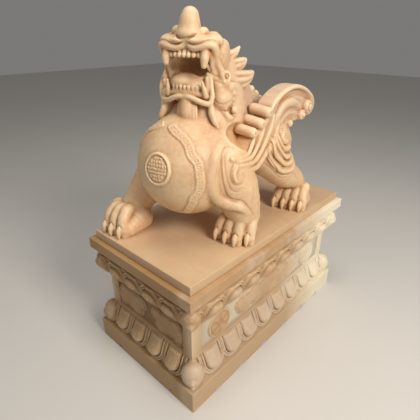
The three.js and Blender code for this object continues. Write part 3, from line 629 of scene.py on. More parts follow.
def carveLips():
    # the rolled upper and lower lip, the folds round the mouth and the cheek
    for side in sides:
        headEgg((side * 60, -308, 872), (62, 42, 28), blend=8, roll=side * 3)  # pad of the upper lip
        headEgg((3 + side * 32, -322, 878), (40, 36, 15), blend=8)
        headEgg((side * 100, -286, 876), (34, 44, 26), blend=8)
        roll = [(1, -334, 870), (12, -341, 861), (38, -346, 850), (71, -345, 855), (97, -337, 862),
                (113, -320, 857), (113, -304, 836), (107, -291, 812),
                (110, -279, 789), (120, -267, 766), (131, -255, 750)]
        roll = [(p[0] + shift, p[1], p[2]) for p, shift in zip(sided(roll, side), (8, 8, 6, 3) + (0,) * 7)]
        headLimb(roll, [10, 11, 12, 12, 12.5, 16, 18, 18, 17, 15, 11], blend=1)
        # curled end
        headLimb(sided([(131, -256, 754), (141, -248, 758), (148, -244, 742), (146, -252, 722),
                        (142, -257, 708)], side), [8, 7, 7, 8, 4], blend=3)
        headLimb(sided([(122, -268, 752), (130, -262, 734), (139, -258, 714)], side), [13, 10, 5], blend=3)
        headEgg((side * 140, -254, 742), (7, 14, 12), blend=2, hollow=True)
        headLimb(sided([(8, -322, 874), (22, -332, 866), (42, -337, 864), (64, -337, 867), (86, -332, 875),
                        (104, -322, 878)], side), [9, 11, 12, 12, 12, 9], blend=8)
        line = [(5, -420, 876), (20, -420, 868), (36, -420, 864), (63, -420, 868), (86, -420, 877),
                (105, -420, 880), (119, -420, 874)]
        headTrace([(p[0] + 6, p[1], p[2]) for p in sided(line, side)], (0, 1, 0),
                  [3, 3.6, 3.8, 3.8, 3.8, 3.4, 2.6], blend=1, hollow=True)
        lower = [(0, -356, 662), (24, -358, 664), (52, -354, 655), (80, -345, 643), (102, -331, 640),
                 (108, -320, 664), (101, -312, 700), (93, -304, 736), (80, -302, 752)]
        if side == -1:  # wider on the far side
            lower[4:] = [(112, -326, 640), (134, -306, 660), (138, -298, 694), (132, -288, 732),
                         (124, -280, 756)]
        headLimb(sided(lower, side), [10, 10.5, 11, 11.5, 12, 11, 10, 9, 7], blend=3)
        if side == 1:
            # gum beside the canine
            headLimb([(82, -322, 668), (86, -316, 700), (80, -310, 736)], [12, 12, 9], blend=4)
            # fold behind the fang
            headLimb([(74, -308, 800), (84, -298, 774), (94, -286, 760), (110, -270, 744), (126, -256, 730)],
                     [6, 8, 8, 7, 3], blend=3)
            # gum outside the fang
            headLimb([(93, -320, 838), (99, -306, 810), (97, -298, 782)], [11, 12, 10], blend=5)
        else:
            headEgg((-122, -282, 712), (15, 26, 52), blend=6)
            headEgg((-108, -312, 662), (20, 20, 26), blend=6)
        for y, z in ((-268, 722), (-258, 716), (-248, 712)):
            headEgg((side * 138, y, z), (6, 6, 5), blend=2)
        headEgg((side * 108, -238, 700), (36, 52, 52), blend=12)
        headEgg((side * 120, -250, 648), (46, 50, 47), blend=14)  # cheek
        headEgg((side * 140, -214, 692), (18, 26, 24), blend=8)
        headEgg((side * 108, -216, 800), (20, 30, 26), blend=8)
        headLimb(sided([(118, -304, 640), (128, -296, 616), (146, -274, 604), (162, -240, 610)], side),
                 [3, 4, 4, 3], blend=2, hollow=True)
        headTrace(sided([(30, -420, 640), (62, -420, 630), (92, -420, 618)], side), (0, 1, 0), 3,
                  blend=2, hollow=True)
        for line in ([(122, -340, 659), (138, -340, 645), (158, -340, 640), (181, -340, 645), (198, -340, 655),
                      (208, -340, 664)], [(115, -330, 732), (134, -330, 729), (155, -330, 722)],
                     [(101, -330, 774), (110, -330, 758), (125, -330, 748), (138, -330, 752)],
                     [(123, -320, 905), (131, -320, 891), (136, -320, 874), (139, -320, 854), (142, -320, 836),
                      (150, -320, 824)],
                     [(149, -310, 837), (150, -310, 826), (147, -310, 814), (140, -310, 810)]):
            headTrace(sided(line, side), (-0.4 * side, 0.91, -0.12), [2.4] + [3.4] * (len(line) - 2) + [2.4],
                      blend=2, hollow=True)
    # crease under the nose
    headLimb([(9, -352, 894), (9, -355, 876), (9, -356, 858)], [3.5, 4.5, 3], blend=1.5, hollow=True)


def carveNose():
    headLimb([(2, -297, 868), (2, -299, 915), (3, -300, 946), (5, -299, 965)], [50, 46, 41.5, 35], blend=6)
    headEgg((3, -299, 902), (59, 57, 30), blend=16)  # bowl round the foot of the nose
    headEgg((-58, -287, 911), (24, 26, 23), blend=8)  # nostril wings
    headEgg((56, -288, 906), (20, 28, 21), blend=4)
    groove = []
    for i in range(15):
        angle = math.radians(-70 + i * 10)
        groove.append((3 + 60 * math.sin(angle), -298 - 57 * math.cos(angle),
                       885 + 34 * abs(math.sin(angle)) ** 2.4))
    headLimb(groove, [2, 3, 4, 5, 6] + [7] * 5 + [6, 5, 4, 3, 2], blend=1, hollow=True, steps=2)


def carveBrows():
    for side in sides:
        headEgg((side * 84, -264, 886), (32, 38, 25), blend=4)
        headEgg((side * 98, -222, 856), (30, 46, 28), 8, blend=4, roll=side * 14)
        headEgg((side * 104, -230, 826), (33, 52, 54), 10, blend=14)  # flat temple
        headLimb(sided([(92, -288, 914), (98, -276, 904), (104, -274, 888), (112, -264, 876),
                        (120, -250, 868)], side), [3, 4, 4, 4, 3], blend=2, hollow=True)
        headTrace(sided([(96, -300, 1000), (100, -276, 1000), (104, -250, 1000), (98, -222, 1000),
                         (84, -200, 1000)], side), (0, 0, -1), 3.4, blend=3, hollow=True)


def carveBeard():
    headLimb([(6, -328, 650), (12, -344, 595), (18, -352, 552)], [38, 38, 28], blend=8)
    count = pixiu["beardStrands"]
    for i in range(count):
        across = (i / (count - 1) - 0.5) * 2
        bow = 14 * (1 - across ** 2)
        headLimb([(8 + across * 34, -338 - bow, 648), (12 + across * 39, -352 - bow, 606),
                  (16 + across * 38, -362 - bow, 562),
                  (20 + across * 20, -366 - bow * 0.5, 524 + 22 * across ** 2)],
                 [7, 7.5, 7.5, 6], blend=1.5)
    for side in sides:
        # leaf beside the throat
        headLimb(sided([(102, -322, 644), (112, -330, 602), (126, -332, 566), (141, -328, 538)], side),
                 [9, 16, 14, 3], blend=3)


def carveLock(points, radii, side, strands=3):
    # a flame-like lock: strands side by side that run together at the tip
    points = np.array(sided(points, side), float) * (0.94, 1, 1)
    for k in range(strands):
        shift = (k - (strands - 1) / 2) / max(1, strands - 1) * 2
        strand, widths = [], []
        for i, (p, r) in enumerate(zip(points, radii)):
            t = i / (len(points) - 1)
            strand.append(p + np.array([0, 0, shift * r * (0.76 - 0.5 * t)]))
            widths.append(max(3.5, r * (0.46 if abs(shift) < 0.5 else 0.4) * (1 + 0.35 * t)))
        headLimb(strand, widths, blend=1.5, flat=1.7, across=(1, 0, 0))


def carveMane():
    locks = [
        ([(104, -196, 796), (117, -152, 812), (129, -120, 830), (137, -98, 849)], [30, 25, 16, 6]),
        ([(104, -186, 768), (134, -126, 776), (147, -88, 786), (153, -68, 796)], [30, 30, 24, 13]),
        ([(110, -190, 716), (146, -108, 716), (164, -54, 724), (170, -20, 738)], [40, 41, 30, 15]),
        ([(80, -176, 668), (116, -100, 660), (128, -50, 662), (124, -18, 676)], [34, 32, 22, 8]),
        ([(50, -150, 804), (66, -104, 804), (70, -74, 808), (66, -54, 818)], [34, 28, 18, 8]),
        ([(44, -140, 772), (62, -60, 772), (70, -14, 780), (68, 14, 796)], [36, 34, 26, 10]),
        ([(44, -120, 712), (62, -20, 710), (68, 30, 716), (66, 60, 734)], [36, 36, 26, 10]),
        ([(34, -110, 662), (44, 0, 644), (48, 50, 650), (44, 76, 668)], [32, 30, 22, 8]),
        ([(0, -150, 836), (0, -96, 840), (0, -56, 850)], [32, 28, 10]),
        ([(118, -262, 626), (138, -270, 598), (156, -262, 576), (171, -246, 570)], [27, 25, 20, 13]),
        ([(112, -272, 610), (126, -278, 582), (146, -270, 562), (160, -256, 560)], [20, 19, 16, 11]),
    ]
    for side in sides:
        headEgg((side * 84, -160, 762), (56, 60, 78), blend=14)
        for points, radii in locks:
            carveLock(points, radii, side)
        for x, y, z, r in ((150, -206, 672, 15), (146, -196, 700, 13), (136, -214, 628, 15),
                           (118, -236, 602, 14), (150, -206, 646, 12), (170, -236, 604, 15),
                           (160, -226, 584, 14)):
            headEgg((side * x, y, z), (r, r, r), blend=2.5)  # small curls behind the cheek
            headEgg((side * (x + r * 0.86), y, z), (4.5, 4.5, 4.5), blend=2, hollow=True)


def carvePixiu():
    carveTorso()
    carveLegs()
    carveSpine()
    carveTail()
    for side in sides:
        carveShoulder(side)
        carveWing(side)
        carveHaunch(side)
        carveBand(side)
    carveBadge()
    print("body carved")
    carveSkull()
    carveMane()
    carveMouth()
    carveBeard()
    carveBrows()
    carveLips()
    carveNose()
    print("head carved")


def figurePlace(points):
    return points * (pixiu["height"] / 1000) + np.array([0, 0, pixiu["plateTop"]], np.float32)


def joinInto(obj, others):
    bpy.ops.object.select_all(action="DESELECT")
    for other in others:
        other.select_set(True)
    obj.select_set(True)
    bpy.context.view_layer.objects.active = obj
    bpy.ops.object.join()


def bevelledBox(name, low, high, width):
    mesh = bpy.data.meshes.new(name)
    shape = bmesh.new()
    bmesh.ops.create_cube(shape, size=1)
    for vertex in shape.verts:
        vertex.co = Vector([low[i] if vertex.co[i] < 0 else high[i] for i in range(3)])
    bmesh.ops.bevel(shape, geom=shape.edges[:], offset=width, segments=2, profile=0.6, affect="EDGES")
    shape.to_mesh(mesh)
    shape.free()
    obj = bpy.data.objects.new(name, mesh)
    bpy.context.scene.collection.objects.link(obj)
    return obj


def makePixiu():
    carvePixiu()
    obj = clay.mesh("pixiuStone", figurePlace, pixiu["triangles"])
    local = (meshPoints(obj.data) - np.array([0, 0, pixiu["plateTop"]])) / (pixiu["height"] / 1000)
    crowd = clay.crowding(local, pixiu["creviceReach"])
    # the crevice value paints shade into the hollows and a highlight onto the ridges
    addFloats(obj.data, "crevice", np.clip((crowd - 0.5) * 3.2, -1, 1))
    inset = pixiu["plateInset"]
    plate = bevelledBox("plate",
                        (cadLow[0] + inset, cadLow[1] + inset, pixiu["plateTop"] - pixiu["plateThickness"]),
                        (cadHigh[0] - inset, cadHigh[1] - inset, pixiu["plateTop"]), pixiu["arris"])
    addFloats(plate.data, "crevice", np.zeros(len(plate.data.vertices)))
    joinInto(obj, [plate])
    return obj


pixiuStone = makePixiu()
print("pixiu made")


# the pedestal is in millimetres, heights above the floor
pedestal = {
    "halfX": 350, "halfY": 635,
    "baseTop": 112, "waistBottom": 242, "waistTop": 402, "neckingBottom": 530, "capBottom": 568, "capTop": 621,
    "footInset": 26, "neckInset": 36, "waistInset": 68,
    "petalPitch": 138, "petalBulge": 37,
    "footLength": 150, "lobeLength": 200, "apronHeight": 24, "apronDepth": 40, "apronWall": 40,
    "capArris": 4, "baseArris": 3,  # roundings of the edges
    "rosetteAt": 394, "rosetteRadius": 76,
    "creviceReach": 14,
    "grain": 3.3,
    "triangles": 185000,
}


def petalHeights(along, height, half):
    # how far a row of petals stands out: eggs with a double rim, round ends towards height 0
    count = round(2 * half / pedestal["petalPitch"])
    pitch = 2 * half / count
    a = np.abs((along + half + pitch / 2) % pitch - pitch / 2)
    width, corner = pitch * 0.4, pitch * 0.37
    outline = np.hypot(np.maximum(a - (width - corner), 0), np.maximum(corner + 15 - height, 0)) - corner
    outline = np.where(height > corner + 15, a - width, outline)
    s = np.clip(-(outline + 6) / (width - 6), 0, 1)
    egg = pedestal["petalBulge"] * np.sqrt(1 - (1 - s) ** 2) * (1 - 0.5 * step(40, 120, height))
    innerRim = 12 * np.sqrt(np.clip(1 - ((outline - 2) / 5.5) ** 2, 0, 1))
    outerRim = 9 * np.sqrt(np.clip(1 - ((outline - 14) / 6) ** 2, 0, 1))
    return np.maximum(egg, innerRim + outerRim)


def rosette(u, v, radius):
    # a round ornament of petals inside a rim
    r = np.hypot(u, v)
    angle = np.arctan2(v, u)
    petals = 7 + 3 * np.abs(np.cos(3 * angle)) ** 0.7 * step(0.18 * radius, 0.34 * radius, r)
    petals = petals - 3 * (np.abs(r - 0.22 * radius) < 3)
    petals = np.where(r > 0.8 * radius, 9.5, petals) - 4 * (np.abs(r - 0.8 * radius) < 2.6)
    return np.where(r < radius, np.minimum(petals, (radius - r) * 2.5), 0)


def cloud(u, v, lobes):
    # a broad smooth cloud with one engraved line inside its lobed edge
    edge = np.full(np.broadcast(u, v).shape, 1e3)
    for cu, cv, ru, rv in lobes:
        edge = np.minimum(edge, (np.hypot((u - cu) / ru, (v - cv) / rv) - 1) * min(ru, rv))
    return np.clip(-edge * 1.6, 0, 9.5) - 4 * (np.abs(edge + 11) < 2.4)


def insetAt(level):
    # how far the stone between cap and base stands back at each height
    p = pedestal
    foot, deeper = p["footInset"], p["waistInset"] - p["footInset"]
    rise = np.clip((level - p["baseTop"]) / (p["waistBottom"] - p["baseTop"]), 0, 1)
    fall = np.clip((p["neckingBottom"] - level) / (p["neckingBottom"] - p["waistTop"]), 0, 1)
    lower, upper = foot + deeper * rise ** 1.5, foot + deeper * fall ** 1.5
    return np.where(level < (p["waistBottom"] + p["waistTop"]) / 2, lower,
                    np.where(level > p["neckingBottom"], p["neckInset"], upper))


def carvePedestal():
    p = pedestal
    stone = Clay((-354, -639, p["baseTop"] - 14), (354, 639, p["capBottom"] + 8), p["grain"])
    cut, x, y, z = stone.part(stone.low, (354, 639, p["capBottom"] + 8), 10)
    level = z[0, 0]
    inset = insetAt(level)
    middle = (p["waistBottom"] + p["waistTop"]) / 2
    faces = []
    for along, half in ((x[:, 0, 0], p["halfX"]), (y[0, :, 0], p["halfY"])):
        u, v = along[:, None], level[None, :]
        inner = half - p["neckInset"]
        lower = petalHeights(u, v - p["baseTop"], inner)
        lower = lower * (1 - step(p["waistBottom"] - 14, p["waistBottom"] - 9, v))
        upper = petalHeights(u, p["neckingBottom"] - v, inner)
        upper = upper * step(p["waistTop"] + 9, p["waistTop"] + 14, v) * (v < p["neckingBottom"])
        if half == p["halfX"]:
            lobes = [(s * c[0], middle + c[1], c[2], c[3]) for s in sides
                     for c in ((136, 4, 104, 60), (64, 20, 50, 46), (198, -10, 48, 56), (92, -24, 56, 46),
                               (180, 28, 48, 42))]
        else:
            lobes = [(s * c[0], middle + c[1], c[2], c[3]) for s in sides
                     for c in ((0, 0, 140, 68), (126, 12, 78, 56), (204, -4, 68, 58), (84, -26, 76, 46),
                               (246, 20, 38, 40), (40, 28, 66, 42))]
        motif = cloud(u, v, lobes)
        if half == p["halfY"]:
            for s in sides:
                disc = rosette(u - s * p["rosetteAt"], (v - middle) * 1.02, p["rosetteRadius"])
                motif = np.maximum(motif, disc)
        band = (v > p["waistBottom"]) & (v < p["waistTop"])
        pilaster = 10.0 * (np.abs(u) > half - p["waistInset"] - 47)
        border = 4.0 * ((v < p["waistBottom"] + 12) | (v > p["waistTop"] - 12))
        bead = 8.0 * (np.abs(v - p["waistBottom"] + 1) < 8) + 8.0 * (np.abs(v - p["waistTop"] - 1) < 8)
        waist = np.where(band, np.maximum(np.maximum(motif, pilaster), np.maximum(border, bead)), bead)
        faces.append(lower + upper + waist)
    overX = np.abs(x) - (p["halfX"] - inset[None, None, :]) - faces[1][None, :, :]
    overY = np.abs(y) - (p["halfY"] - inset[None, None, :]) - faces[0][:, None, :]
    body = np.maximum(overX, overY)
    body = np.maximum(body, np.maximum(p["baseTop"] - 8 - z, z - (p["capBottom"] + 4)))
    stone.field[cut] = np.minimum(stone.field[cut], body.astype(np.float32))
    # the bigger petals that wrap the corners
    for sx in sides:
        for sy in sides:
            turn = -45 if sx * sy > 0 else 45
            at = lambda inset, level: (sx * (p["halfX"] - inset), sy * (p["halfY"] - inset), level)
            stone.egg(at(48, 176), (49, 44, 54), (0, 0, turn), blend=3)
            stone.egg(at(47, 152), (46, 42, 38), (0, 0, turn), blend=10)
            stone.limb([at(44, 500), at(52, 482), at(70, 452)], [40, 38, 12], blend=3)
    return stone


def makePedestal():
    p = pedestal
    stone = carvePedestal()
    obj = stone.mesh("pedestalStone", lambda points: points / 1000, p["triangles"], crease=38)
    points = meshPoints(obj.data) * 1000
    crowd = stone.crowding(points, p["creviceReach"])
    # the crevice value paints shade into the hollows and a highlight onto the ridges
    addFloats(obj.data, "crevice", np.clip((crowd - 0.5) * 3.0, -1, 1))
    sunk = np.minimum(p["halfX"] - np.abs(points[:, 0]), p["halfY"] - np.abs(points[:, 1])) - p["waistInset"]
    inBand = (points[:, 2] > p["waistBottom"]) & (points[:, 2] < p["waistTop"])
    addFloats(obj.data, "ground", np.where(inBand, step(-6, -1, sunk), 0))
    x, y = p["halfX"] / 1000, p["halfY"] / 1000
    cap = bevelledBox("cap", (-x, -y, p["capBottom"] / 1000), (x, y, p["capTop"] / 1000), p["capArris"] / 1000)
    base = makeBase()
    for other in (cap, base):
        addFloats(other.data, "crevice", np.zeros(len(other.data.vertices)))
        addFloats(other.data, "ground", np.zeros(len(other.data.vertices)))
    joinInto(obj, [cap, base])
    return obj


def makeBase():
    # the base course, with an apron of shallow hanging lobes between its feet
    p = pedestal
    rows = []
    for half in (p["halfX"], p["halfY"]):
        span = 2 * half - 2 * p["footLength"]
        count = round(span / p["lobeLength"])
        edge = [(-half, 0), (-span / 2, 0)]
        for i in range(count):
            for k in range(15):
                t = -1 + 2 * k / 14
                edge.append((-span / 2 + (i + 0.5 + t / 2) * span / count,
                             p["apronHeight"] * (1 - math.sqrt(max(0, 1 - t * t)))))
        edge += [(span / 2, 0), (half, 0)]
        rows.append(edge)
    mesh = bpy.data.meshes.new("base")
    shape = bmesh.new()
    top = p["baseTop"]
    arris = p["baseArris"]
    for face in range(4):
        edge = rows[face % 2]
        fixed = p["halfY"] if face % 2 == 0 else p["halfX"]
        angle = face * math.pi / 2

        def spot(u, out, z):
            # a vertex u along this face, out behind it
            place = Matrix.Rotation(angle, 3, "Z") @ Vector((u, -(fixed - out), z))
            return shape.verts.new((place.x / 1000, place.y / 1000, z / 1000))

        for (u0, z0), (u1, z1) in zip(edge[:-1], edge[1:]):
            if u1 - u0 < 0.01 and abs(z1 - z0) < 0.01:
                continue
            half = edge[-1][0]
            inner0, inner1 = (u * (half - arris) / half if abs(abs(u) - half) < 1 else u for u in (u0, u1))
            if u1 - u0 > 0.01:  # the face, its upper arris and the top
                shape.faces.new([spot(inner0, 0, z0), spot(inner1, 0, z1),
                                 spot(inner1, 0, top - arris), spot(inner0, 0, top - arris)])
                shape.faces.new([spot(inner0, 0, top - arris), spot(inner1, 0, top - arris),
                                 spot(inner1, arris, top), spot(inner0, arris, top)])
                shape.faces.new([spot(inner0, arris, top), spot(inner1, arris, top),
                                 spot(inner1 * 0.6, fixed * 0.4, top), spot(inner0 * 0.6, fixed * 0.4, top)])
            # the underside of the apron
            shape.faces.new([spot(inner1, 0, z1), spot(inner0, 0, z0),
                             spot(inner0, p["apronDepth"], z0), spot(inner1, p["apronDepth"], z1)])
        half = edge[-1][0]
        depth, reach = p["apronDepth"], half - p["apronDepth"]
        wall = ((-reach, 0), (reach, 0), (reach, p["apronWall"]), (-reach, p["apronWall"]))
        shape.faces.new([spot(u, depth, z) for u, z in wall])
        # the arris down the corner
        corner = half - arris
        a, b = spot(corner, 0, 0), spot(corner, 0, top - arris)
        c, d = spot(half, arris, top - arris), spot(half, arris, 0)
        e = spot(corner, arris, top)
        shape.faces.new([a, d, c, b])
        shape.faces.new([b, c, e])
    bmesh.ops.remove_doubles(shape, verts=shape.verts[:], dist=0.00002)
    bottomX, bottomY = (p["halfX"] - p["apronDepth"]) / 1000, (p["halfY"] - p["apronDepth"]) / 1000
    corners = ((-1, -1), (-1, 1), (1, 1), (1, -1))
    shape.faces.new([shape.verts.new((sx * bottomX, sy * bottomY, 0)) for sx, sy in corners])
    bmesh.ops.recalc_face_normals(shape, faces=shape.faces[:])
    shape.to_mesh(mesh)
    shape.free()
    obj = bpy.data.objects.new("base", mesh)
    bpy.context.scene.collection.objects.link(obj)
    return obj


pedestalStone = makePedestal()
print("pedestal made")


def linear(hexColour):
    # an sRGB hex value as linear red, green, blue and alpha
    values = [int(hexColour[i:i + 2], 16) / 255 for i in (0, 2, 4)]
    return [v / 12.92 if v <= 0.04045 else ((v + 0.055) / 1.055) ** 2.4 for v in values] + [1]


def node(tree, kind, settings=None, links=None):
    # adds a node, sets its fields and sockets, and links (socket, other node, its output)
    made = tree.nodes.new(kind)
    for key, value in (settings or {}).items():
        if isinstance(key, str) and hasattr(made, key):
            setattr(made, key, value)
        else:
            made.inputs[key].default_value = value
    for socket, other, output in links or []:
        tree.links.new(other.outputs[output], made.inputs[socket])
    return made


polishedLook = {
    "cream": "E4C39A", "honey": "D8B088", "vein": "D2A27E",
    # the hollow colour is painted shade, the ridge colour a painted highlight
    "plate": "C9AC8A", "roughBack": "CDB29C", "hollow": "AC7A48", "ridge": "F6DFB8",
    "cloudSize": 182,  # mm across a patch of honey
    "veinSize": (333, 91, 143),  # mm along, across and up the streaks
    "grainSize": 6.25,  # mm, drawn coarser than the real 1 to 2 mm, which wouldn't show
    "roughness": (0.40, 0.54),
    "ior": 1.5,
}


def polishedMarble():
    # warm cream marble, carved and polished: a soft sheen over cloudy honey patches, painted shade that
    # makes the hollows brown and a painted highlight that makes the ridges paler
    p = polishedLook
    material = bpy.data.materials.new("polishedMarble")
    material.use_nodes = True
    tree = material.node_tree
    shader = tree.nodes["Principled BSDF"]
    place = node(tree, "ShaderNodeTexCoord")
    spot = node(tree, "ShaderNodeSeparateXYZ", {}, [("Vector", place, "Object")])
    crevice = node(tree, "ShaderNodeAttribute", {"attribute_name": "crevice"})
    cloudy = node(tree, "ShaderNodeTexNoise", {"Scale": 1000 / p["cloudSize"], "Detail": 4, "Roughness": 0.55},
                  [("Vector", place, "Object")])
    streak = node(tree, "ShaderNodeMapping",
                  {"Scale": [1000 / size for size in p["veinSize"]], "Rotation": (0, 0, 0.6)},
                  [("Vector", place, "Object")])
    vein = node(tree, "ShaderNodeTexNoise", {"Scale": 1.0, "Detail": 6, "Roughness": 0.62, "Distortion": 0.8},
                [("Vector", streak, "Vector")])
    # the neck and the back were left rougher and greyer
    rearward = node(tree, "ShaderNodeMapRange", {1: -0.22, 2: -0.04}, [(0, spot, "Y")])
    upward = node(tree, "ShaderNodeMapRange", {1: 1.10, 2: 1.19}, [(0, spot, "Z")])
    back = node(tree, "ShaderNodeMath", {"operation": "MULTIPLY"}, [(0, rearward, 0), (1, upward, 0)])
    patchy = node(tree, "ShaderNodeMapRange", {1: 0.38, 2: 0.64}, [(0, cloudy, "Fac")])
    tone = node(tree, "ShaderNodeMix", {"data_type": "RGBA", 6: linear(p["cream"]), 7: linear(p["honey"])},
                [(0, patchy, 0)])
    # each line lays a colour on, from none at the first value to the share at the second
    for source, output, none, full, share, colour in (
            (vein, "Fac", 0.52, 0.66, 0.55, p["vein"]),
            (spot, "Z", 0.668, 0.662, 0.7, p["plate"]),
            (back, 0, 0, 1, 0.6, p["roughBack"]),
            # painted shade: brown in the hollows
            (crevice, "Fac", 0.02, 0.7, 1, p["hollow"]),
            # painted highlight: paler on the ridges
            (crevice, "Fac", -0.06, -0.55, 0.55, p["ridge"])):
        amount = node(tree, "ShaderNodeMapRange", {1: none, 2: full, 4: share}, [(0, source, output)])
        tone = node(tree, "ShaderNodeMix", {"data_type": "RGBA", 7: linear(colour)},
                    [(0, amount, 0), (6, tone, 2)])
    tree.links.new(tone.outputs[2], shader.inputs["Base Color"])
    fine = node(tree, "ShaderNodeTexNoise", {"Scale": 1000 / p["grainSize"], "Detail": 3, "Roughness": 0.6},
                [("Vector", place, "Object")])
    low, high = p["roughness"]
    sheen = node(tree, "ShaderNodeMapRange", {1: 0.3, 2: 0.7, 3: low, 4: high}, [(0, fine, "Fac")])
    tree.links.new(sheen.outputs[0], shader.inputs["Roughness"])
    bump = node(tree, "ShaderNodeBump", {"Strength": 0.1, "Distance": 0.002}, [("Height", fine, "Fac")])
    tree.links.new(bump.outputs[0], shader.inputs["Normal"])
    shader.inputs["IOR"].default_value = p["ior"]
    return material


tanLook = {
    "tan": "CAA87E", "brown": "B38F68", "orange": "C98A58", "pinkish": "C9B3A0",
    # the pale end colour is painted light on the far end, the front colour painted shade on the front face
    "petals": "D6C6B2", "slab": "C0A078", "paintedLitEnd": "F6ECD2", "frontShade": "98723F",
    # the front ground colour is painted shade; the hollow colour is painted shade and the ridge colour a
    # painted highlight
    "dust": "DAD5C2", "frontGroundShade": "705A30", "hollow": "8A6440", "ridge": "E9D3B0",
    "cloudSize": 278,  # mm across a brown cloud
    "patchSize": 133,  # mm across an orange or pinkish patch
    "grainSize": 8.33,  # mm, drawn coarser than the real 2 mm, which wouldn't show
    "roughness": (0.42, 0.58),
    "ior": 1.5,
}


def tanMarble():
    # tan marble of the pedestal, honed and hardly polished: a dull broad sheen, orange and pinkish
    # patches, pale stone dust in the sunk ground, painted shade on the front, painted light on one end
    p = tanLook
    material = bpy.data.materials.new("tanMarble")
    material.use_nodes = True
    tree = material.node_tree
    shader = tree.nodes["Principled BSDF"]
    place = node(tree, "ShaderNodeTexCoord")
    spot = node(tree, "ShaderNodeSeparateXYZ", {}, [("Vector", place, "Object")])
    crevice = node(tree, "ShaderNodeAttribute", {"attribute_name": "crevice"})
    ground = node(tree, "ShaderNodeAttribute", {"attribute_name": "ground"})
    cloudy = node(tree, "ShaderNodeTexNoise", {"Scale": 1000 / p["cloudSize"], "Detail": 5, "Roughness": 0.6},
                  [("Vector", place, "Object")])
    patches = node(tree, "ShaderNodeTexNoise", {"Scale": 1000 / p["patchSize"], "Detail": 3, "Roughness": 0.5},
                   [("Vector", place, "Object")])
    # the front face, which gets painted shade
    ahead = node(tree, "ShaderNodeMapRange", {1: -0.545, 2: -0.56}, [(0, spot, "Y")])
    inward = node(tree, "ShaderNodeMapRange", {1: 0.29, 2: 0.25}, [(0, spot, "X")])
    frontShade = node(tree, "ShaderNodeMath", {"operation": "MULTIPLY"}, [(0, ahead, 0), (1, inward, 0)])
    patchy = node(tree, "ShaderNodeMapRange", {1: 0.36, 2: 0.62}, [(0, cloudy, "Fac")])
    tone = node(tree, "ShaderNodeMix", {"data_type": "RGBA", 6: linear(p["tan"]), 7: linear(p["brown"])},
                [(0, patchy, 0)])
    # each line lays a colour on, from none at the first value to the share at the second
    for source, output, none, full, share, colour in (
            (patches, "Fac", 0.58, 0.70, 0.35, p["orange"]),
            (patches, "Fac", 0.42, 0.33, 0.6, p["pinkish"]),
            (spot, "Z", 0.25, 0.22, 0.5, p["petals"]),
            (spot, "Z", 0.114, 0.11, 0.8, p["slab"]),
            # painted light: the far end much paler, as where it is brightly lit
            (spot, "Y", 0.1, 0.46, 0.95, p["paintedLitEnd"]),
            # painted shade: the front face darker
            (frontShade, 0, 0, 1, 0.62, p["frontShade"])):
        amount = node(tree, "ShaderNodeMapRange", {1: none, 2: full, 4: share}, [(0, source, output)])
        tone = node(tree, "ShaderNodeMix", {"data_type": "RGBA", 7: linear(colour)},
                    [(0, amount, 0), (6, tone, 2)])
    # the sunk ground of the waist holds stone dust, and painted shade makes it darker at the front
    shaded = node(tree, "ShaderNodeMapRange", {1: -0.54, 2: -0.555}, [(0, spot, "Y")])
    dust = node(tree, "ShaderNodeMix",
                {"data_type": "RGBA", 6: linear(p["dust"]), 7: linear(p["frontGroundShade"])}, [(0, shaded, 0)])
    # share of the sunk ground that takes the dust, with its painted shade at the front
    dustAndShadeShare = node(tree, "ShaderNodeMapRange", {4: 0.75}, [(0, ground, "Fac")])
    tone = node(tree, "ShaderNodeMix", {"data_type": "RGBA"}, [(0, dustAndShadeShare, 0), (6, tone, 2), (7, dust, 2)])
    # painted shade in the hollows and a painted highlight on the ridges, from the crevice value
    for none, full, share, colour in ((0.04, 0.7, 0.7, p["hollow"]), (-0.08, -0.6, 0.6, p["ridge"])):
        amount = node(tree, "ShaderNodeMapRange", {1: none, 2: full, 4: share}, [(0, crevice, "Fac")])
        tone = node(tree, "ShaderNodeMix", {"data_type": "RGBA", 7: linear(colour)},
                    [(0, amount, 0), (6, tone, 2)])
    tree.links.new(tone.outputs[2], shader.inputs["Base Color"])
    fine = node(tree, "ShaderNodeTexNoise", {"Scale": 1000 / p["grainSize"], "Detail": 4, "Roughness": 0.65},
                [("Vector", place, "Object")])
    low, high = p["roughness"]
    sheen = node(tree, "ShaderNodeMapRange", {1: 0.3, 2: 0.7, 3: low, 4: high}, [(0, fine, "Fac")])
    tree.links.new(sheen.outputs[0], shader.inputs["Roughness"])
    bump = node(tree, "ShaderNodeBump", {"Strength": 0.16, "Distance": 0.002}, [("Height", fine, "Fac")])
    tree.links.new(bump.outputs[0], shader.inputs["Normal"])
    shader.inputs["IOR"].default_value = p["ior"]
    return material


pixiuStone.data.materials.clear()
pixiuStone.data.materials.append(polishedMarble())
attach(pixiuStone, "root")
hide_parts("pixiu")
pedestalStone.data.materials.clear()
pedestalStone.data.materials.append(tanMarble())
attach(pedestalStone, "root")
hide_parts("pedestal")
print("materials made")


studio = {
    "floorSize": 14,  # m from the middle to each side
    "floor": "D9D6D1", "floorRoughness": 0.85,
    "world": "E6E4E1", "worldStrength": 0.25,
    "aim": (0, 0, 0.9),  # all lights point here
    # each soft light: name, place in m, side of its square in m, watts, colour
    "lights": (
        ("key", (3.5, -0.6, 3.2), 1.4, 140, "FFF8EE"),
        ("fill", (-1.2, -3.2, 4.0), 2.2, 20, "FFF9F2"),
        ("top", (0.3, -0.5, 4.2), 1.6, 44, "FFFBF5"),
    ),
}


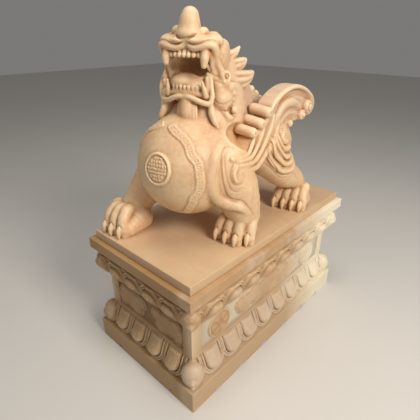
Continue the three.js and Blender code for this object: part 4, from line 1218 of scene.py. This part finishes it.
def makeFloor():
    mesh = bpy.data.meshes.new("floor")
    shape = bmesh.new()
    bmesh.ops.create_grid(shape, x_segments=1, y_segments=1, size=studio["floorSize"])
    shape.to_mesh(mesh)
    shape.free()
    floor = bpy.data.objects.new("floor", mesh)
    bpy.context.scene.collection.objects.link(floor)
    material = bpy.data.materials.new("paleFloor")
    material.use_nodes = True
    shader = material.node_tree.nodes["Principled BSDF"]
    shader.inputs["Base Color"].default_value = linear(studio["floor"])
    shader.inputs["Roughness"].default_value = studio["floorRoughness"]
    mesh.materials.append(material)


def makeLight():
    world = bpy.data.worlds.new("studio")
    bpy.context.scene.world = world
    bpy.context.scene.view_settings.view_transform = "Standard"
    world.use_nodes = True
    world.node_tree.nodes["Background"].inputs[0].default_value = linear(studio["world"])
    world.node_tree.nodes["Background"].inputs[1].default_value = studio["worldStrength"]
    for name, place, side, watts, colour in studio["lights"]:
        data = bpy.data.lights.new(name, "AREA")
        data.shape = "RECTANGLE"
        data.size = data.size_y = side
        data.energy = watts
        data.color = linear(colour)[:3]
        light = bpy.data.objects.new(name, data)
        light.location = place
        light.rotation_euler = (Vector(studio["aim"]) - Vector(place)).to_track_quat("-Z", "Y").to_euler()
        bpy.context.scene.collection.objects.link(light)


# solved from the corners of the pedestal and the plate in the photograph
photoCamera = {
    "place": (1.1003, -1.3473, 1.5223),
    "azimuth": 42.5596,  # degrees round the object
    "elevation": 26.52,  # looks down by this
    "roll": 0.2347,
    "lens": 30.99, "sensor": 36,  # mm
}


def makeCamera():
    azimuth, elevation, roll = (math.radians(photoCamera[k]) for k in ("azimuth", "elevation", "roll"))
    forward = Vector((-math.cos(elevation) * math.sin(azimuth), math.cos(elevation) * math.cos(azimuth),
                      -math.sin(elevation)))
    right = Vector((math.cos(azimuth), math.sin(azimuth), 0))
    up = right.cross(forward)
    cameraX = math.cos(roll) * right + math.sin(roll) * up
    cameraY = -math.sin(roll) * right + math.cos(roll) * up
    data = bpy.data.cameras.new("photoCamera")
    data.lens = photoCamera["lens"]
    data.sensor_width = photoCamera["sensor"]
    camera = bpy.data.objects.new("photoCamera", data)
    axes = Matrix((cameraX, cameraY, -forward)).transposed().to_4x4()
    camera.matrix_world = Matrix.Translation(photoCamera["place"]) @ axes
    bpy.context.scene.collection.objects.link(camera)
    bpy.context.scene.camera = camera


makeFloor()
makeLight()
makeCamera()
print("floor, light and camera set")
